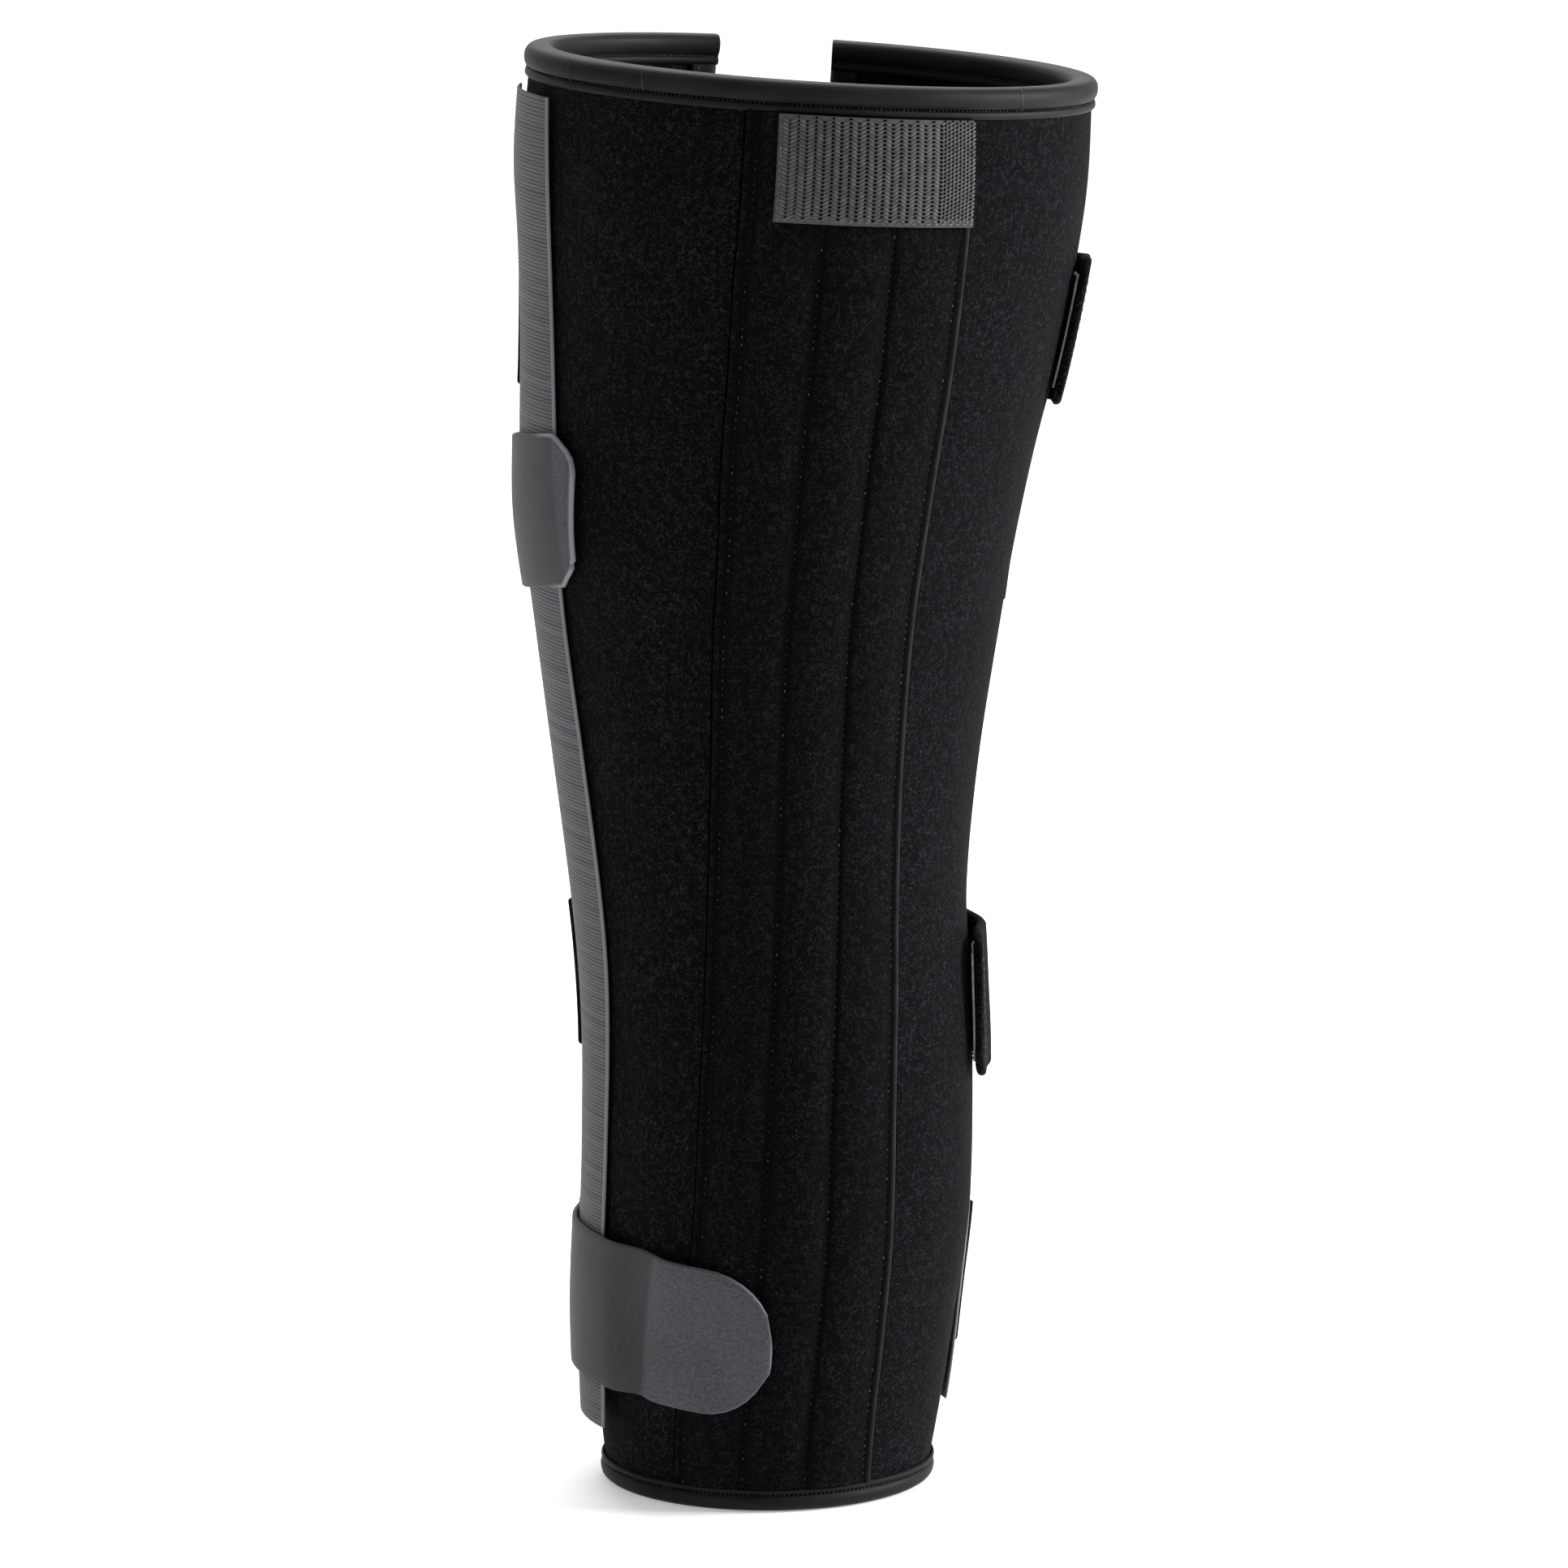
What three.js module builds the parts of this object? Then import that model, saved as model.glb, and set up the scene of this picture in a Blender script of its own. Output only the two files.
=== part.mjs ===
// Knee immobilizer: a foam wrap that stands round the leg from mid thigh to calf and is open down
// the front. A stay panel is sewn up its back, a bar strip lies down each side, its edges are
// bound, and four straps cross its front.
// Millimetres. +Z is up the leg, the back of the knee is at -Y, and +X is the right in a back view.
import * as THREE from "three";

// The wrap
const LENGTH = 486; // rim to rim, up the back
const THIGH_WIDTH = 189; // outside, side to side at the widest section
const THIGH_DEPTH = 174; // outside, back to front at the same section
const WALL = 6; // foam laminate
const RIM_RISE = 11; // left end of the top rim above its right end
const FRONT_GAP = 46; // between the wrap's front edges, at both rims
const KNEECAP_GAP = 60; // the same, at the kneecap
const KNEECAP_LEVEL = 0.51; // share of LENGTH
const KNEECAP_REACH = 0.2; // half the height of the kneecap opening, as a share of LENGTH

// Clearances
const CLEARANCE = 0.3; // between pieces that touch
const LAY = 0.6; // under a layer of cloth that lies on the wrap

// Edge bindings
const TOP_BINDING = 10; // height over the wall
const BOTTOM_BINDING = 8;
const FRONT_BINDING = 8;
const ROLL_PROUD = 2; // the roll outside the wall's face
const TAPE_PROUD = 1.3; // the sewn edge of the tape outside the wall's face
const BINDING_END = 2; // binding beyond the wall's edge
const BINDING_SLOT = 0.5; // between the wall's faces and the binding folded over them
const TAPE_SHARE = 0.25; // the sewn edge's share of a binding's height
const ROLL_LOW = 0.78; // the roll is fullest between these shares of its height
const ROLL_HIGH = 0.28;
const ROLL_TOP = 0.3; // share of ROLL_PROUD at the roll's top

// The stay panel on the back
const PANEL_WIDTH = 68;
const PANEL_SEAM = 3; // edge strip outside the outer stitch lines
const PANEL_CLOTH = 1.2; // at a stitch line
const PANEL_PUFF = 1.8; // a channel's middle above its stitch lines
const CHANNELS = 3;
const CHANNEL_STEPS = 5;
const EDGE_PUFF = 0.04; // share of PANEL_PUFF at the panel's edges

// The hook patch on the panel's top
const PATCH_HEIGHT = 35;
const PATCH_INSET = 10; // from the panel's left edge
const PATCH_CLOTH = 1.2;
const PATCH_PUFF = 0.3; // share of the channels' puff left under the patch

// Side strips
const STRIP_WIDTH = 51;
const STRIP_CLOTH = 2;
const STRIP_BOTTOM = 23; // lower end above the bottom rim
const LEFT_STRIP_DROP = 14; // upper end below the top rim
const RIGHT_STRIP_DROP = 16;
const RIGHT_STRIP_LOW = 22; // how much further round the right strip lies than the left, at the bottom
const RIGHT_STRIP_HIGH = 52; // and at the top

// Straps
const STRAP_WIDTH = 50;
const STRAP_CLOTH = 3;
const STRAP_CORNER = 6;
const STRAP_RAMP = 12; // length over which a strap comes down from what it crosses
const TAPE_WIDTH = 38;
const TAPE_LENGTH = 30;
const TAPE_CLOTH = 0.8;
const TAB_WIDTH = 51;
const TAB_CLOTH = 1.8;

// Fineness of the solids
const WRAP_COLUMNS = 48;
const WRAP_ROWS = 18;
const STRAP_STEP = 6; // degrees
const CORNER_STEPS = 3;
const PATCH_COLUMNS = 10;
const PATCH_ROWS = 3;
const STRIP_COLUMNS = 5;
const STRAP_ROWS = 2;

const HALF_TURN = Math.PI;
const DEGREE = Math.PI / 180;

// Sections of the wrap's outer face, from the bottom rim up. level is a share of LENGTH, width a
// share of THIGH_WIDTH and depth of THIGH_DEPTH. side and back move the section, as shares of
// THIGH_WIDTH.
const SECTIONS = [
  { level: 0.0, width: 0.581, depth: 0.58, side: -0.024, back: 0.0 },
  { level: 0.06, width: 0.625, depth: 0.627, side: -0.02, back: 0.002 },
  { level: 0.125, width: 0.663, depth: 0.669, side: -0.016, back: 0.006 },
  { level: 0.2, width: 0.69, depth: 0.701, side: -0.006, back: 0.01 },
  { level: 0.31, width: 0.692, depth: 0.705, side: -0.004, back: 0.008 },
  { level: 0.37, width: 0.693, depth: 0.708, side: -0.011, back: 0.002 },
  { level: 0.43, width: 0.704, depth: 0.718, side: -0.022, back: -0.004 },
  { level: 0.52, width: 0.755, depth: 0.768, side: -0.027, back: -0.01 },
  { level: 0.62, width: 0.826, depth: 0.836, side: -0.026, back: -0.008 },
  { level: 0.68, width: 0.871, depth: 0.88, side: -0.024, back: -0.005 },
  { level: 0.74, width: 0.903, depth: 0.909, side: -0.009, back: -0.002 },
  { level: 0.8, width: 0.939, depth: 0.944, side: 0.01, back: 0.0 },
  { level: 0.865, width: 0.974, depth: 0.977, side: 0.024, back: 0.0 },
  { level: 0.925, width: 1.0, depth: 1.0, side: 0.032, back: 0.0 },
  { level: 1.0, width: 0.992, depth: 0.99, side: 0.043, back: 0.0 },
];

// Where the sewn pieces lie, as lengths along the face from the back line: the panel's middle and
// the left strip's near edge, as shares of THIGH_WIDTH. wide is a share of PANEL_WIDTH.
const SEWN_LINES = [
  { level: 0.0, panel: -0.031, wide: 0.97, strip: 0.355 },
  { level: 0.06, panel: -0.032, wide: 0.98, strip: 0.36 },
  { level: 0.125, panel: -0.024, wide: 0.985, strip: 0.382 },
  { level: 0.2, panel: -0.021, wide: 0.98, strip: 0.405 },
  { level: 0.31, panel: -0.014, wide: 0.955, strip: 0.398 },
  { level: 0.37, panel: -0.001, wide: 0.945, strip: 0.388 },
  { level: 0.43, panel: 0.013, wide: 0.935, strip: 0.388 },
  { level: 0.52, panel: 0.02, wide: 0.932, strip: 0.42 },
  { level: 0.62, panel: 0.023, wide: 0.96, strip: 0.468 },
  { level: 0.68, panel: 0.031, wide: 0.99, strip: 0.482 },
  { level: 0.74, panel: 0.027, wide: 1.035, strip: 0.508 },
  { level: 0.8, panel: 0.022, wide: 1.065, strip: 0.542 },
  { level: 0.865, panel: 0.02, wide: 1.09, strip: 0.568 },
  { level: 0.925, panel: 0.023, wide: 1.085, strip: 0.58 },
  { level: 1.0, panel: 0.017, wide: 1.06, strip: 0.6 },
];

// How far each side strip stands off the wrap, up its length: level is a share of its own length.
const STRIP_STAND = [
  { level: 0.0, left: 4.2, right: 2.0 },
  { level: 0.08, left: 2.2, right: 1.0 },
  { level: 0.2, left: 0.0, right: 0.0 },
  { level: 0.85, left: 0.0, right: 0.4 },
  { level: 1.0, left: 0.8, right: 2.6 },
];

// The lie of each strap, level as a share of LENGTH at a turn in degrees from the back line.
const STRAP_LIES = {
  strap_1: [
    { turn: 70, level: 0.826 },
    { turn: 180, level: 0.803 },
    { turn: 250, level: 0.814 },
  ],
  strap_2: [
    { turn: 100, level: 0.675 },
    { turn: 180, level: 0.662 },
    { turn: 261, level: 0.68 },
    { turn: 300, level: 0.696 },
  ],
  strap_3: [
    { turn: 66, level: 0.346 },
    { turn: 180, level: 0.356 },
    { turn: 250, level: 0.352 },
  ],
  strap_4: [
    { turn: 100, level: 0.138 },
    { turn: 180, level: 0.136 },
    { turn: 261, level: 0.135 },
    { turn: 292, level: 0.134 },
    { turn: 325, level: 0.127 },
    { turn: 350, level: 0.122 },
  ],
};

// Straps that end at the right, with a hook tape inside the end. free is the turn where the end
// leaves the wrap, lift how far its tip stands off, and tilt how much more its upper edge does.
const TAPED_STRAPS = [
  { strap: "strap_1", tape: "hook_tape_1", from: 70, to: 250, free: 86, lift: 1.0, tilt: 0.3 },
  { strap: "strap_3", tape: "hook_tape_3", from: 66, to: 250, free: 88, lift: 1.8, tilt: 2.0 },
];

// Straps that end at the left in a grey tab, sewn on over the strap's last stretch.
const TABBED_STRAPS = [
  { strap: "strap_2", tab: "end_tab_2", from: 100, to: 232, tabFrom: 218, tabTo: 302, corner: 9 },
  { strap: "strap_4", tab: "end_tab_4", from: 100, to: 232, tabFrom: 218, tabTo: 351.5, corner: 21 },
];

const FINISHES = {
  foam: { color: 0x161618, roughness: 0.95 },
  panel: { color: 0x18181a, roughness: 0.95 },
  binding: { color: 0x2e2f31, roughness: 0.6 },
  hook: { color: 0x55565a, roughness: 0.7 },
  ribbed: { color: 0x6b6c70, roughness: 0.75 },
  strap: { color: 0x1a1a1c, roughness: 0.9 },
  tab: { color: 0x5a5b5f, roughness: 0.65 },
  tape: { color: 0xa0a1a3, roughness: 0.6 },
};

function mix(low, high, share) {
  return low + (high - low) * share;
}

// A smooth step from 0 to 1 as the share goes from 0 to 1.
function ease(share) {
  return THREE.MathUtils.smoothstep(share, 0, 1);
}

// Evenly spaced shares from 0 to 1.
function shares(steps) {
  return Array.from({ length: steps + 1 }, (_, i) => i / steps);
}

// The value of a table's column on a smooth curve through its rows, which are sorted by key.
function readTable(rows, key, column, at) {
  const last = rows.length - 1;
  const place = THREE.MathUtils.clamp(at, rows[0][key], rows[last][key]);
  const above = rows.findIndex((row) => row[key] >= place);
  const high = Math.max(above, 1);
  const low = high - 1;
  const slope = (k) => {
    const before = rows[Math.max(k - 1, 0)];
    const after = rows[Math.min(k + 1, last)];
    return (after[column] - before[column]) / (after[key] - before[key]);
  };
  const span = rows[high][key] - rows[low][key];
  const t = (place - rows[low][key]) / span;
  const rest = 1 - t;
  return (
    rest * rest * (1 + 2 * t) * rows[low][column] +
    t * t * (1 + 2 * rest) * rows[high][column] +
    t * rest * rest * span * slope(low) -
    t * t * rest * span * slope(high)
  );
}

// Half-width, half-depth and centre of the wrap's outer face at a level.
function sectionAt(level) {
  const read = (column) => readTable(SECTIONS, "level", column, level / LENGTH);
  return {
    wide: (read("width") * THIGH_WIDTH) / 2,
    deep: (read("depth") * THIGH_DEPTH) / 2,
    side: read("side") * THIGH_WIDTH,
    back: read("back") * THIGH_WIDTH,
  };
}

// The mean radius at a level, which turns lengths round the wrap into angles.
function radiusAt(level) {
  const { wide, deep } = sectionAt(level);
  return (wide + deep) / 2;
}

// The point at a level and a turn from the back line, proud of the wrap's outer face. The top rim
// rises toward the left, and everything below it rises in proportion.
function facePoint(level, turn, proud) {
  const { wide, deep, side, back } = sectionAt(level);
  const out = new THREE.Vector2(deep * Math.sin(turn), -wide * Math.cos(turn)).normalize();
  const rim = LENGTH - (RIM_RISE / 2) * Math.sin(turn);
  return new THREE.Vector3(
    side + wide * Math.sin(turn) + proud * out.x,
    -back - deep * Math.cos(turn) + proud * out.y,
    (level * rim) / LENGTH,
  );
}

// The turn at a length along the face from the back line.
function turnAt(level, length) {
  return length / radiusAt(level);
}

// The turn of the wrap's front edge, which draws back round the kneecap.
function edgeTurn(level) {
  const away = Math.abs(level / LENGTH - KNEECAP_LEVEL) / KNEECAP_REACH;
  const gap = mix(KNEECAP_GAP, FRONT_GAP, ease(away));
  return HALF_TURN - Math.asin(gap / 2 / sectionAt(level).wide);
}

// The panel's left and right edges at a level, as lengths along the face.
function panelEdges(level) {
  const middle = readTable(SEWN_LINES, "level", "panel", level / LENGTH) * THIGH_WIDTH;
  const half = (readTable(SEWN_LINES, "level", "wide", level / LENGTH) * PANEL_WIDTH) / 2;
  return { left: middle - half, right: middle + half };
}

// The near and far edges of a side strip at a level, as turns. side is -1 on the left.
function stripTurns(level, side) {
  const near = readTable(SEWN_LINES, "level", "strip", level / LENGTH) * THIGH_WIDTH;
  const moved = side < 0 ? near : near + mix(RIGHT_STRIP_LOW, RIGHT_STRIP_HIGH, level / LENGTH);
  return [turnAt(level, moved) * side, turnAt(level, moved + STRIP_WIDTH) * side];
}

// How high a side strip's inner face stands over the wrap at a level.
function stripStand(level, side) {
  const high = LENGTH - (side < 0 ? LEFT_STRIP_DROP : RIGHT_STRIP_DROP);
  const up = (level - STRIP_BOTTOM) / (high - STRIP_BOTTOM);
  return LAY + Math.max(readTable(STRIP_STAND, "level", side < 0 ? "left" : "right", up), 0);
}

// A closed mesh from points and triangles, turned so that its faces point out.
function solid(name, finish, points, faces) {
  const volume = faces.reduce((sum, [a, b, c]) => {
    const normal = new THREE.Vector3().crossVectors(points[b], points[c]);
    return sum + points[a].dot(normal);
  }, 0);
  const outward = volume < 0 ? faces.map(([a, b, c]) => [a, c, b]) : faces;
  const geometry = new THREE.BufferGeometry().setFromPoints(points);
  geometry.setIndex(outward.flat());
  geometry.computeVertexNormals();
  const material = new THREE.MeshStandardMaterial({ ...FINISHES[finish], metalness: 0, flatShading: true });
  const mesh = new THREE.Mesh(geometry, material);
  mesh.name = name;
  return mesh;
}

// Two triangles for a quad of point numbers.
function quad(a, b, c, d) {
  return [
    [a, b, c],
    [a, c, d],
  ];
}

// A wall between an inner and an outer grid. place(along, up, out) gives each point, out being 0 or 1.
function layer(name, finish, alongs, ups, place) {
  const points = [0, 1].flatMap((out) => ups.flatMap((up) => alongs.map((along) => place(along, up, out))));
  const across = alongs.length - 1;
  const rows = ups.length - 1;
  const at = (i, j, out) => (out * (rows + 1) + j) * (across + 1) + i;
  const faces = [];
  for (let j = 0; j < rows; j += 1) {
    for (let i = 0; i < across; i += 1) {
      faces.push(...quad(at(i, j, 1), at(i + 1, j, 1), at(i + 1, j + 1, 1), at(i, j + 1, 1)));
      faces.push(...quad(at(i, j, 0), at(i, j + 1, 0), at(i + 1, j + 1, 0), at(i + 1, j, 0)));
    }
  }
  for (let i = 0; i < across; i += 1) {
    faces.push(...quad(at(i + 1, 0, 1), at(i, 0, 1), at(i, 0, 0), at(i + 1, 0, 0)));
    faces.push(...quad(at(i, rows, 1), at(i + 1, rows, 1), at(i + 1, rows, 0), at(i, rows, 0)));
  }
  for (let j = 0; j < rows; j += 1) {
    faces.push(...quad(at(0, j, 1), at(0, j + 1, 1), at(0, j + 1, 0), at(0, j, 0)));
    faces.push(...quad(at(across, j + 1, 1), at(across, j, 1), at(across, j, 0), at(across, j + 1, 0)));
  }
  return solid(name, finish, points, faces);
}

// A closed profile carried along a run. place(step, proud, over) gives each point.
function channel(name, finish, steps, profile, place) {
  const outline = THREE.ShapeUtils.isClockWise(profile) ? [...profile].reverse() : profile;
  const points = steps.flatMap((step) => outline.map(({ x, y }) => place(step, x, y)));
  const count = outline.length;
  const faces = [];
  for (let i = 0; i < steps.length - 1; i += 1) {
    for (let k = 0; k < count; k += 1) {
      const next = (k + 1) % count;
      faces.push(...quad(i * count + k, i * count + next, (i + 1) * count + next, (i + 1) * count + k));
    }
  }
  const end = (steps.length - 1) * count;
  for (const [a, b, c] of THREE.ShapeUtils.triangulateShape(outline, [])) {
    faces.push([a, c, b], [end + a, end + b, end + c]);
  }
  return solid(name, finish, points, faces);
}

// The levels of the wrap's rows. The ones next to the ends are where the bindings stop.
function wrapLevels() {
  const low = BOTTOM_BINDING + CLEARANCE;
  const high = LENGTH - TOP_BINDING - CLEARANCE;
  return shares(WRAP_ROWS).map((share) => mix(low, high, share));
}

function wrapBody() {
  const reach = BINDING_END + CLEARANCE;
  const levels = [reach, ...wrapLevels(), LENGTH - reach];
  return layer("wrap_body", "foam", shares(WRAP_COLUMNS), levels, (along, level, out) =>
    facePoint(level, edgeTurn(level) * (2 * along - 1), out ? 0 : -WALL),
  );
}

// The section of a rolled binding, x proud of the face and y over the wall from its edge. The sewn
// tape edge lies below the roll on the outside.
function rolledProfile(height) {
  const inside = -WALL - BINDING_SLOT;
  const tape = height * TAPE_SHARE;
  const roll = height - tape;
  return [
    [BINDING_SLOT, height],
    [TAPE_PROUD, height],
    [TAPE_PROUD, roll],
    [ROLL_PROUD, roll * ROLL_LOW],
    [ROLL_PROUD, roll * ROLL_HIGH],
    [ROLL_PROUD * ROLL_TOP, 0],
    [-WALL - ROLL_PROUD * ROLL_TOP, 0],
    [-WALL - ROLL_PROUD, roll * ROLL_HIGH],
    [-WALL - TAPE_PROUD, height],
    [inside, height],
    [inside, BINDING_END],
    [BINDING_SLOT, BINDING_END],
  ].map(([x, y]) => new THREE.Vector2(x, y));
}

// The section of a flat front binding, y counted from the wall's edge.
function flatProfile() {
  const inside = -WALL - BINDING_SLOT;
  return [
    [BINDING_SLOT, FRONT_BINDING],
    [TAPE_PROUD, FRONT_BINDING],
    [TAPE_PROUD, 0],
    [0, -BINDING_END],
    [-WALL, -BINDING_END],
    [-WALL - TAPE_PROUD, 0],
    [-WALL - TAPE_PROUD, FRONT_BINDING],
    [inside, FRONT_BINDING],
    [inside, -CLEARANCE],
    [BINDING_SLOT, -CLEARANCE],
  ].map(([x, y]) => new THREE.Vector2(x, y));
}

// A rim's binding. levelOf turns a height over the wall into a level.
function rimBinding(name, height, levelOf) {
  const steps = shares(WRAP_COLUMNS);
  const past = BINDING_END / radiusAt(levelOf(0));
  return channel(name, "binding", steps, rolledProfile(height), (step, proud, over) => {
    const level = levelOf(over);
    const side = 2 * step - 1;
    const turn = edgeTurn(levelOf(0)) * side;
    const beyond = Math.abs(side) === 1 ? past * side : 0;
    return facePoint(level, turn + beyond, proud);
  });
}

function frontBinding(name, side) {
  return channel(name, "binding", wrapLevels(), flatProfile(), (level, proud, over) =>
    facePoint(level, side * (edgeTurn(level) - over / radiusAt(level)), proud),
  );
}

// The places of the panel's columns, as shares of its width: its edges, its stitch lines, and the
// steps of the channels between them. puff is how full the channel is there.
function panelColumns() {
  const seam = PANEL_SEAM / PANEL_WIDTH;
  const channelWide = (1 - 2 * seam) / CHANNELS;
  const inner = shares(CHANNELS * CHANNEL_STEPS).map((_, i) => ({
    place: seam + (i / CHANNEL_STEPS) * channelWide,
    puff: Math.sin((HALF_TURN * (i % CHANNEL_STEPS)) / CHANNEL_STEPS),
  }));
  return [{ place: 0, puff: EDGE_PUFF }, ...inner, { place: 1, puff: EDGE_PUFF }];
}

// How full the channels are at a level: they are held flat under the hook patch.
function panelFill(level) {
  const below = (LENGTH - TOP_BINDING - PATCH_HEIGHT - level) / PATCH_HEIGHT;
  return mix(PATCH_PUFF, 1, ease(below));
}

function stayPanel() {
  return layer("stay_pocket_panel", "panel", panelColumns(), wrapLevels(), (column, level, out) => {
    const { left, right } = panelEdges(level);
    const cloth = PANEL_CLOTH + PANEL_PUFF * column.puff * panelFill(level);
    const proud = out ? CLEARANCE + cloth : CLEARANCE;
    return facePoint(level, turnAt(level, mix(left, right, column.place)), proud);
  });
}

function hookPatch() {
  const under = 2 * CLEARANCE + PANEL_CLOTH + PANEL_PUFF * PATCH_PUFF;
  const high = LENGTH - TOP_BINDING - CLEARANCE;
  const ups = shares(PATCH_ROWS).map((share) => mix(high - PATCH_HEIGHT, high, share));
  return layer("hook_patch", "hook", shares(PATCH_COLUMNS), ups, (along, level, out) => {
    const { left, right } = panelEdges(level);
    const length = mix(left + PATCH_INSET, right, along);
    return facePoint(level, turnAt(level, length), under + (out ? PATCH_CLOTH : 0));
  });
}

// A side strip, from its lower end to a drop below the top rim.
function sideStrip(name, side, drop) {
  const levels = shares(WRAP_ROWS).map((share) => mix(STRIP_BOTTOM, LENGTH - drop, share));
  return layer(name, "ribbed", shares(STRIP_COLUMNS), levels, (along, level, out) => {
    const [near, far] = stripTurns(level, side);
    return facePoint(level, mix(near, far, along), stripStand(level, side) + (out ? STRIP_CLOTH : 0));
  });
}

// What a strap lies on at a level and turn: the strips, the panel and the bound front edges. It
// holds its height for a step past each of them before it comes down.
function seatAt(level, turn) {
  const radius = radiusAt(level);
  const round = THREE.MathUtils.euclideanModulo(turn + HALF_TURN, 2 * HALF_TURN) - HALF_TURN;
  const hold = STRAP_STEP * DEGREE * radius;
  const over = (low, high, rise) => {
    const outside = Math.max(low - round, round - high, 0) * radius;
    return rise * (1 - ease((outside - hold) / STRAP_RAMP));
  };
  const { left, right } = panelEdges(level);
  const [leftNear, leftFar] = stripTurns(level, -1);
  const [rightNear, rightFar] = stripTurns(level, 1);
  const edge = edgeTurn(level) - FRONT_BINDING / radius;
  return (
    LAY +
    Math.max(
      over(leftFar, leftNear, stripStand(level, -1) + STRIP_CLOTH),
      over(rightNear, rightFar, stripStand(level, 1) + STRIP_CLOTH),
      over(turnAt(level, left), turnAt(level, right), CLEARANCE + PANEL_CLOTH + PANEL_PUFF),
      over(edge, HALF_TURN, TAPE_PROUD),
      over(-HALF_TURN, -edge, TAPE_PROUD),
    )
  );
}

// The point of a strap at a turn, across its width from its middle, and proud of its seat.
function strapPoint(lie, turn, across, proud) {
  const levelAt = (where) => readTable(lie, "turn", "level", where / DEGREE) * LENGTH;
  const level = levelAt(turn);
  const radius = radiusAt(level);
  const slope = Math.atan((levelAt(turn + DEGREE) - levelAt(turn - DEGREE)) / (2 * DEGREE * radius));
  const up = level + across * Math.cos(slope);
  const round = turn - (across * Math.sin(slope)) / radius;
  return facePoint(up, round, seatAt(up, round) + proud);
}

// Turns along a strap, in radians, with closer steps through the rounded corners of an end.
// A corner of 0 leaves an end square.
function strapTurns(lie, from, to, cornerFrom, cornerTo) {
  const radius = radiusAt(lie[0].level * LENGTH);
  const corner = (size) =>
    size > 0 ? shares(CORNER_STEPS).map((s) => (size * (1 - Math.cos((s * HALF_TURN) / 2))) / radius) : [0];
  const start = corner(cornerFrom).map((step) => from * DEGREE + step);
  const finish = corner(cornerTo)
    .map((step) => to * DEGREE - step)
    .reverse();
  const low = start.at(-1);
  const high = finish[0];
  const count = Math.max(Math.round((high - low) / (STRAP_STEP * DEGREE)), 1);
  const middle = shares(count).map((share) => mix(low, high, share));
  return [...start.slice(0, -1), ...middle, ...finish.slice(1)];
}

// Half the width of a strap at a length from an end whose corners are rounded.
function halfWidth(width, corner, length) {
  const inside = Math.min(length, corner);
  return width / 2 - corner + Math.sqrt(corner ** 2 - (corner - inside) ** 2);
}

// How far a free end stands off its seat at a turn, with the tape under it. upper is 0 at the lower
// edge and 1 at the upper.
function freeLift(row, turn, upper, radius) {
  const gone = THREE.MathUtils.clamp((row.free * DEGREE - turn) / ((row.free - row.from) * DEGREE), 0, 1);
  const past = (turn - row.from * DEGREE) * radius - TAPE_LENGTH;
  const tape = (CLEARANCE + TAPE_CLOTH) * (1 - ease((past - CLEARANCE) / STRAP_RAMP));
  return gone ** 2 * (row.lift + row.tilt * (upper - 0.5)) + tape;
}

// A strap that ends at the right, and the hook tape inside its end.
function tapedStrap(row) {
  const lie = STRAP_LIES[row.strap];
  const radius = radiusAt(lie[0].level * LENGTH);
  const from = row.from * DEGREE;
  const turns = strapTurns(lie, row.from, row.to, STRAP_CORNER, 0);
  const strap = layer(row.strap, "strap", turns, shares(STRAP_ROWS), (turn, up, out) => {
    const half = halfWidth(STRAP_WIDTH, STRAP_CORNER, (turn - from) * radius);
    const lift = freeLift(row, turn, up, radius);
    return strapPoint(lie, turn, mix(-half, half, up), lift + (out ? STRAP_CLOTH : 0));
  });
  const tapeTurns = turns.filter((turn) => (turn - from) * radius < TAPE_LENGTH);
  const tape = layer(row.tape, "tape", tapeTurns, shares(STRAP_ROWS), (turn, up, out) => {
    const across = mix(-TAPE_WIDTH / 2, TAPE_WIDTH / 2, up);
    const lift = freeLift(row, turn, 0.5 + across / STRAP_WIDTH, radius) - CLEARANCE;
    return strapPoint(lie, turn, across, lift - (out ? 0 : TAPE_CLOTH));
  });
  return [strap, tape];
}

// A strap that ends at the left, and the grey tab that carries it on.
function tabbedStrap(row) {
  const lie = STRAP_LIES[row.strap];
  const to = row.tabTo * DEGREE;
  const radius = radiusAt(lie.at(-1).level * LENGTH);
  const turns = strapTurns(lie, row.from, row.to, 0, 0);
  const strap = layer(row.strap, "strap", turns, shares(STRAP_ROWS), (turn, up, out) =>
    strapPoint(lie, turn, mix(-0.5, 0.5, up) * STRAP_WIDTH, out ? STRAP_CLOTH : 0),
  );
  const laid = turns.filter((turn) => turn >= row.tabFrom * DEGREE);
  const tabTurns = [...laid, ...strapTurns(lie, row.to, row.tabTo, 0, row.corner).slice(1)];
  const tab = layer(row.tab, "tab", tabTurns, shares(STRAP_ROWS), (turn, up, out) => {
    const half = halfWidth(TAB_WIDTH, row.corner, (to - turn) * radius);
    const past = (turn - (row.to + STRAP_STEP) * DEGREE) * radius;
    const over = (STRAP_CLOTH + CLEARANCE) * (1 - ease(past / STRAP_RAMP));
    return strapPoint(lie, turn, mix(-half, half, up), over + (out ? TAB_CLOTH : 0));
  });
  return [strap, tab];
}

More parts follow.
